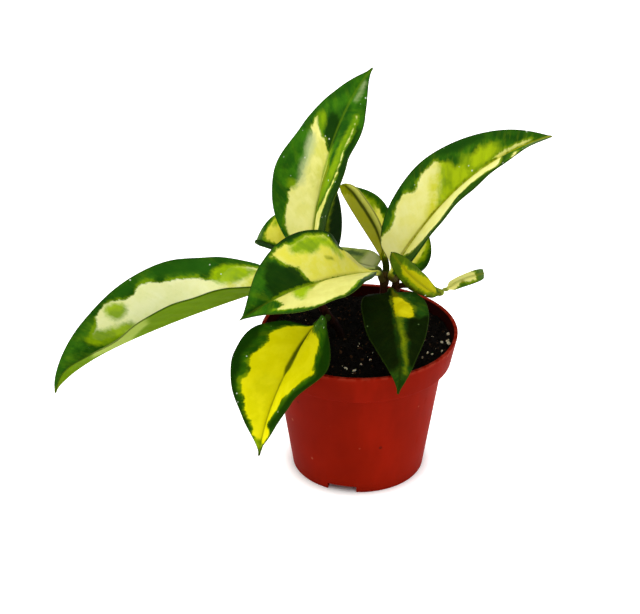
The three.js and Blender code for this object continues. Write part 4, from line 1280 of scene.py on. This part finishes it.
# Hangs over the rim at the front left, yellow inside a wide dark margin.
LEAVES["yellow_leaf"] = {
    "solid": "leaf_yellow", "slot": "yellow_leaf", "gloss": 0.001,
    "knot": (-12.3, 2.3, 65.7), "leaves": (-0.2, -0.95, 0.23),
    "midrib": [(-17.4, -12, 69.2), (-22.8, -28, 69.5), (-34.2, -46, 62.1), (-39.6, -47, 30.9)],
    "face": (-0.35, -0.9, 0.35), "reach": (22, 22.8), "ends": (0.85, 1.3),
    "folds": [[65, 58, 35, 53, 59, 58], [18, 10, 3, 19, 5, -15]],
    "tones": {
        **YELLOW_TONES, "cream": (214, 205, 2), "tint": (202, 196, 6), "bright": (226, 218, 26),
        "olive": (40, 62, 4), "rib": (72, 88, 4), "stalk": (30, 44, 6),
    },
    "cream": [
        [(.03, 0), (.06, -.12), (.12, -.25), (.18, -.42), (.22, -.55), (.25, -.68), (.27, -.72),
         (.31, -.66), (.34, -.62), (.4, -.62), (.42, -.72), (.44, -.75), (.46, -.66), (.5, -.64),
         (.55, -.6), (.58, -.52), (.6, -.46), (.65, -.47), (.68, -.47), (.71, -.4), (.74, -.33),
         (.77, -.27), (.78, -.4), (.785, -.7), (.8, -.95), (.88, -.95), (.9, -.6), (.9, .6), (.88, .8),
         (.86, .72), (.82, .6), (.79, .64), (.77, .74), (.75, .78), (.71, .74), (.68, .7), (.64, .75),
         (.6, .79), (.58, .74), (.56, .66), (.53, .62), (.5, .64), (.47, .68), (.43, .7), (.37, .62),
         (.33, .57), (.3, .58), (.26, .64), (.2, .66), (.15, .64), (.1, .54), (.05, .3)],
    ],
    "lime": [[(.9, -.8), (.96, -.9), (.96, .9), (.9, .8)]],
    "dark": [
        [(0, -1.1), (.24, -1.1), (.3, -.8), (.38, -.74), (.46, -.9), (.6, -.72), (.7, -.62), (.77, -.45),
         (.78, -.8), (.7, -1.1)],
        [(.3, .78), (.36, .8), (.45, .86), (.52, .8), (.58, .9), (.68, .88), (.76, .93), (.8, .8),
         (.84, .8), (.84, 1.1), (.2, 1.1), (.2, .95)],
        [(0, .06), (.06, .3), (.1, .6), (.18, .72), (.2, 1.1), (0, 1.1)],
    ],
    "tint": [[(.48, -.1), (.62, -.05), (.9, -.3), (.9, .8), (.75, .75), (.6, .6), (.5, .35)]],
    "olive": [
        [(.06, -.09), (.2, -.1), (.28, -.07), (.36, -.07), (.42, -.07), (.47, .01), (.42, .05), (.3, .055),
         (.2, .05), (.06, .05)],
        [(.12, -.3), (.17, -.34), (.2, -.44), (.16, -.4)],
        [(.08, -.16), (.16, -.2), (.22, -.26), (.15, -.24)],
    ],
}

# Hangs over the rim at the front right, dark, with one yellow patch and a lime line.
LEAVES["front_leaf"] = {
    "solid": "leaf_front", "slot": "dark_leaf", "gloss": 0.004,
    "knot": (14.7, 6.7, 75.5), "leaves": (-0.4, -0.92, 0),
    "midrib": [(12.5, -4, 80.2), (12.2, -24, 81.2), (16.6, -46, 75.3), (14.2, -47, 59.1)],
    "face": (0, -0.9, 0.4), "reach": (13.5, 13.5), "ends": (0.65, 1.25),
    "folds": [[16, 8, 0, 0, 12, 20], [5, 22, 22, 6, 0, 3]],
    "tones": {**DARK_TONES, "cream": (182, 171, 2), "tint": (182, 171, 2), "lime": (124, 138, 6)},
    "cream": [
        [(.12, -.3), (.2, -.42), (.25, -.5), (.3, -.57), (.35, -.59), (.385, -.55), (.395, -.45),
         (.385, -.3), (.37, -.12), (.36, -.03), (.25, -.01), (.1, -.02)],
    ],
    "lime": [
        [(.36, -.1), (.4, -.17), (.45, -.18), (.5, -.18), (.55, -.19), (.58, -.23), (.61, -.29),
         (.65, -.28), (.68, -.25), (.72, -.3), (.76, -.38), (.8, -.48), (.84, -.54), (.83, -.5),
         (.79, -.42), (.75, -.34), (.71, -.26), (.68, -.18), (.65, -.14), (.6, -.14), (.5, -.09),
         (.4, -.07), (.34, -.05)],
    ],
    "dark": [
        [(0, .03), (.4, .08), (.6, .08), (.78, 0), (.82, .4), (.84, 1.1), (0, 1.1)],
        [(.4, -.4), (.5, -.32), (.57, -.33), (.62, -.44), (.68, -.4), (.74, -.45), (.8, -.62), (.82, -1.1),
         (.38, -1.1), (.42, -.7)],
    ],
    "olive": [[(0, -.4), (.1, -.35), (.13, -.2), (.1, -.05), (0, 0)]],
}

# The side shoot's inner young leaf, rolled lengthwise and leaning up to the left.
LEAVES["inner_shoot_leaf"] = {
    "solid": "leaf_shoot_inner", "slot": "yellow_leaf", "gloss": 0.01,
    "knot": (32.1, 4.85, 75.7), "knot_radius": SHOOT_RADIUS, "leaves": (0, -1, 0), "petiole": 0.8,
    "midrib": [(32.1, 1.5, 76.3), (27, -5.3, 80.8), (17.3, -16.8, 95.3), (12, -16.6, 104)],
    "face": (0.3, -0.9, 0.3), "reach": (4.5, 4.5), "ends": (0.6, 0.5), "folds": [[0, 0], [0, 0]],
    "curl": -30,
    "tones": {
        **YELLOW_TONES, "cream": (164, 158, 2), "tint": (150, 146, 2), "bright": (180, 174, 6),
        "green": (70, 96, 6), "deep": (58, 82, 6), "dark": (46, 50, 2),
    },
    "cream": [
        [(.1, .1), (.2, -.25), (.35, -.38), (.5, -.36), (.65, -.38), (.72, -.4), (.8, -.2), (.82, .05),
         (.74, .25), (.6, .45), (.5, .6), (.4, .76), (.3, .82), (.18, .8), (.12, .5)],
    ],
    "dark": [[(.12, -.5), (.3, -.56), (.5, -.6), (.6, -.7), (.62, -1.1), (.15, -1.1)]],
}

# The side shoot's outer young leaf, narrow and pale, with an olive joint.
LEAVES["outer_shoot_leaf"] = {
    "solid": "leaf_shoot_outer", "slot": "cream_leaf", "gloss": 0.01,
    "knot": (33.2, 4.95, 75.1), "knot_radius": SHOOT_RADIUS, "leaves": (0.6, 0, 0.8), "petiole": 0.8,
    "midrib": [(35.6, 4.6, 77.1), (38.9, 4.2, 80.9), (44.6, 3.2, 83.7), (49.6, 1.8, 85.6)],
    "face": (0.1, -0.5, 0.9), "reach": (3.2, 3.1), "ends": (0.2, 0.2), "folds": [[-20, -15], [-55, -45]],
    "tones": {**CREAM_TONES, "stalk": (170, 178, 80), "green": (84, 120, 20), "deep": (60, 98, 14)},
    "cream": [
        [(0, -1.1), (.5, -1.1), (.66, -.95), (.72, -.7), (.76, -.4), (.8, 0), (.78, .4), (.6, .45),
         (.5, .32), (.42, .2), (.37, .4), (.3, .55), (.15, .7), (0, .9)],
    ],
    "sheen": [[(.85, -1.1), (1, -1.1), (1, 1.1), (.9, .6)]],
    "olive": [[(.41, .05), (.45, .1), (.47, .25), (.43, .35), (.39, .25)]],
}

# A short leaf behind the right one, yellow inside a green margin.
LEAVES["back_right_leaf"] = {
    "solid": "leaf_back_right", "slot": "yellow_leaf", "gloss": 0.01,
    "knot": (14.8, 6.1, 81.5), "leaves": (0.5, 0.85, 0), "petiole": 1.1,
    "midrib": [(17.7, 10, 82.8), (20.8, 17, 86), (22, 26, 92), (20, 34, 100)], "face": (0.3, -0.8, 0.4),
    "reach": (9.3, 9.3), "ends": (0.45, 0.9), "folds": [[15, 15], [15, 15]],
    "tones": {**YELLOW_TONES, "cream": (218, 212, 86), "tint": (218, 212, 86)},
    "cream": [
        [(.12, -.5), (.4, -.6), (.7, -.3), (.75, .2), (.62, .7), (.55, .8), (.45, .76), (.35, .66),
         (.25, .56), (.18, .46), (.14, .2)],
    ],
    "lime": [[(.2, .5), (.3, .6), (.4, .7), (.5, .8), (.42, .84), (.33, .76), (.25, .68)]],
    "dark": [[(.1, .86), (.3, .88), (.5, .92), (.7, .86), (.7, 1.1), (.1, 1.1)]],
}

# Folded along its midrib behind the middle, so that its yellow-green underside shows.
LEAVES["folded_leaf"] = {
    "solid": "leaf_folded", "slot": "yellow_leaf", "gloss": 0.004,
    "knot": (10.1, 5.2, 80), "leaves": (0.1, 1, 0),
    "midrib": [(10, 12, 87.2), (5.1, 14, 96.1), (-2.1, 22, 103), (-7.6, 34, 109)],
    "face": (0.7, -0.28, 0.66), "reach": (12, 12), "ends": (0.75, 0.75), "folds": [[64, 64], [54, 54]],
    "tones": {
        **YELLOW_TONES, "cream": (222, 216, 96), "tint": (222, 216, 96), "under": (150, 149, 4),
        "sheen": (236, 232, 116), "olive": (18, 40, 6), "rib": (100, 84, 10),
    },
    "cream": [
        [(0, 0), (.1, -.5), (.3, -.62), (.6, -.6), (.8, -.4), (.9, 0), (.75, .6), (.5, .7), (.25, .75),
         (.1, .6)],
    ],
    "lime": [[(.5, .55), (.7, .5), (.85, .3), (.8, .6), (.6, .75)]],
    # Painted light: this pale film is a cream band on the underside, painted bright against the underside's
    # shade.
    "sheen": [[(.1, -1.1), (.1, -.76), (.3, -.76), (.6, -.74), (.85, -.8), (.9, -1.1)]],
    "olive": [
        [(.05, -.46), (.3, -.54), (.6, -.52), (.85, -.58), (.96, -.72), (.94, -.8), (.8, -.72), (.6, -.68),
         (.3, -.7), (.05, -.6)],
    ],
}

# A narrow dark leaf behind the tall one.
LEAVES["behind_leaf"] = {
    "solid": "leaf_behind", "slot": "dark_leaf", "gloss": 0.04,
    "knot": (-17.2, 5.3, 74.3), "leaves": (0.3, 0.95, 0),
    "midrib": [(-14.2, 16, 83.6), (-13.6, 20, 91.4), (-12.6, 26, 104.2), (-13.4, 34, 116.1)],
    "face": (0.2, -0.9, 0.3), "reach": (6.5, 6.5), "ends": (0.5, 0.8), "folds": [[10, 10], [10, 10]],
    "tones": {**DARK_TONES, "green": (44, 84, 24), "deep": (30, 62, 16), "dark": (16, 36, 8)},
    "lime": [[(.3, -.1), (.5, 0), (.65, .2), (.8, .5), (.78, .55), (.62, .28), (.48, .08), (.3, 0)]],
    "dark": [[(.1, .15), (.4, .1), (.6, .4), (.72, .7), (.7, 1.1), (.1, 1.1)]],
}

# A small leaf that peeps out to the left of the tall one.
LEAVES["small_left_leaf"] = {
    "solid": "leaf_small_left", "slot": "cream_leaf", "gloss": 0.004,
    "knot": (-17.8, 6.1, 78), "leaves": (-0.3, 0.95, 0),
    "midrib": [(-19.8, 12, 84.5), (-27.1, 14, 87.8), (-34, 20, 87.8), (-42.2, 24, 88.1)],
    "face": (-0.3, -0.6, 0.7), "reach": (8, 16.8), "ends": (0.6, 0.5), "folds": [[85, 85], [18, 10]],
    "tones": {
        **CREAM_TONES, "cream": (212, 205, 60), "tint": (212, 205, 60), "bright": (226, 220, 90),
        # Painted shade: its underside tone is dark for the shade on the upturned near half.
        "under": (22, 50, 8),
    },
    "cream": [
        [(0, .05), (.3, .1), (.65, .16), (.72, .12), (.8, .16), (.86, .28), (.89, .45), (.87, .62),
         (.84, .74), (.78, .84), (.5, .86), (.2, .85), (.05, .5)],
    ],
    "lime": [[(.66, .66), (.74, .6), (.8, .66), (.78, .8), (.7, .84)]],
    "sheen": [[(.96, -.8), (1, -1), (1, 1), (.95, .9)]],
    # Painted shade: the whole near half is painted dark green for the shade on its upturned underside.
    "dark": [[(0, -1.1), (1, -1.1), (1, -.02), (0, -.02)]],
}

# A leaf lying in the shade between the centre leaf and the right one; its pale grey-green is painted sheen
# over the green.
LEAVES["shaded_leaf"] = {
    "solid": "leaf_shaded", "slot": "dark_leaf", "gloss": 0.05,
    "knot": (10.2, 5, 83), "leaves": (-0.6, 0.8, 0), "petiole": 1.1,
    "midrib": [(7.3, 8.6, 84.2), (1.2, 14, 82.8), (-6.5, 25, 79.6), (-14, 36, 79.4)],
    "face": (0, -0.2, 0.95), "reach": (10.8, 10), "ends": (0.6, 0.8), "folds": [[10, 10], [4, 4]],
    "tones": {
        **DARK_TONES, "green": (158, 172, 78), "deep": (122, 140, 58), "dark": (44, 74, 26),
        "sheen": (190, 192, 136),
    },
    "sheen": [[(.02, -.4), (.2, -.3), (.3, .1), (.36, .5), (.4, .85), (.28, .97), (.1, .7)]],
    "dark": [[(.4, .5), (.6, .3), (.78, .5), (.66, .72), (.46, .68)]],
}

for seed, (name, leaf) in enumerate(LEAVES.items(), start=1):
    skin = leaf_finish(name + "_skin", leaf, seed)
    fitted(leaf_mesh(name, leaf, skin, seed), leaf["slot"], leaf["solid"], sharp=60)
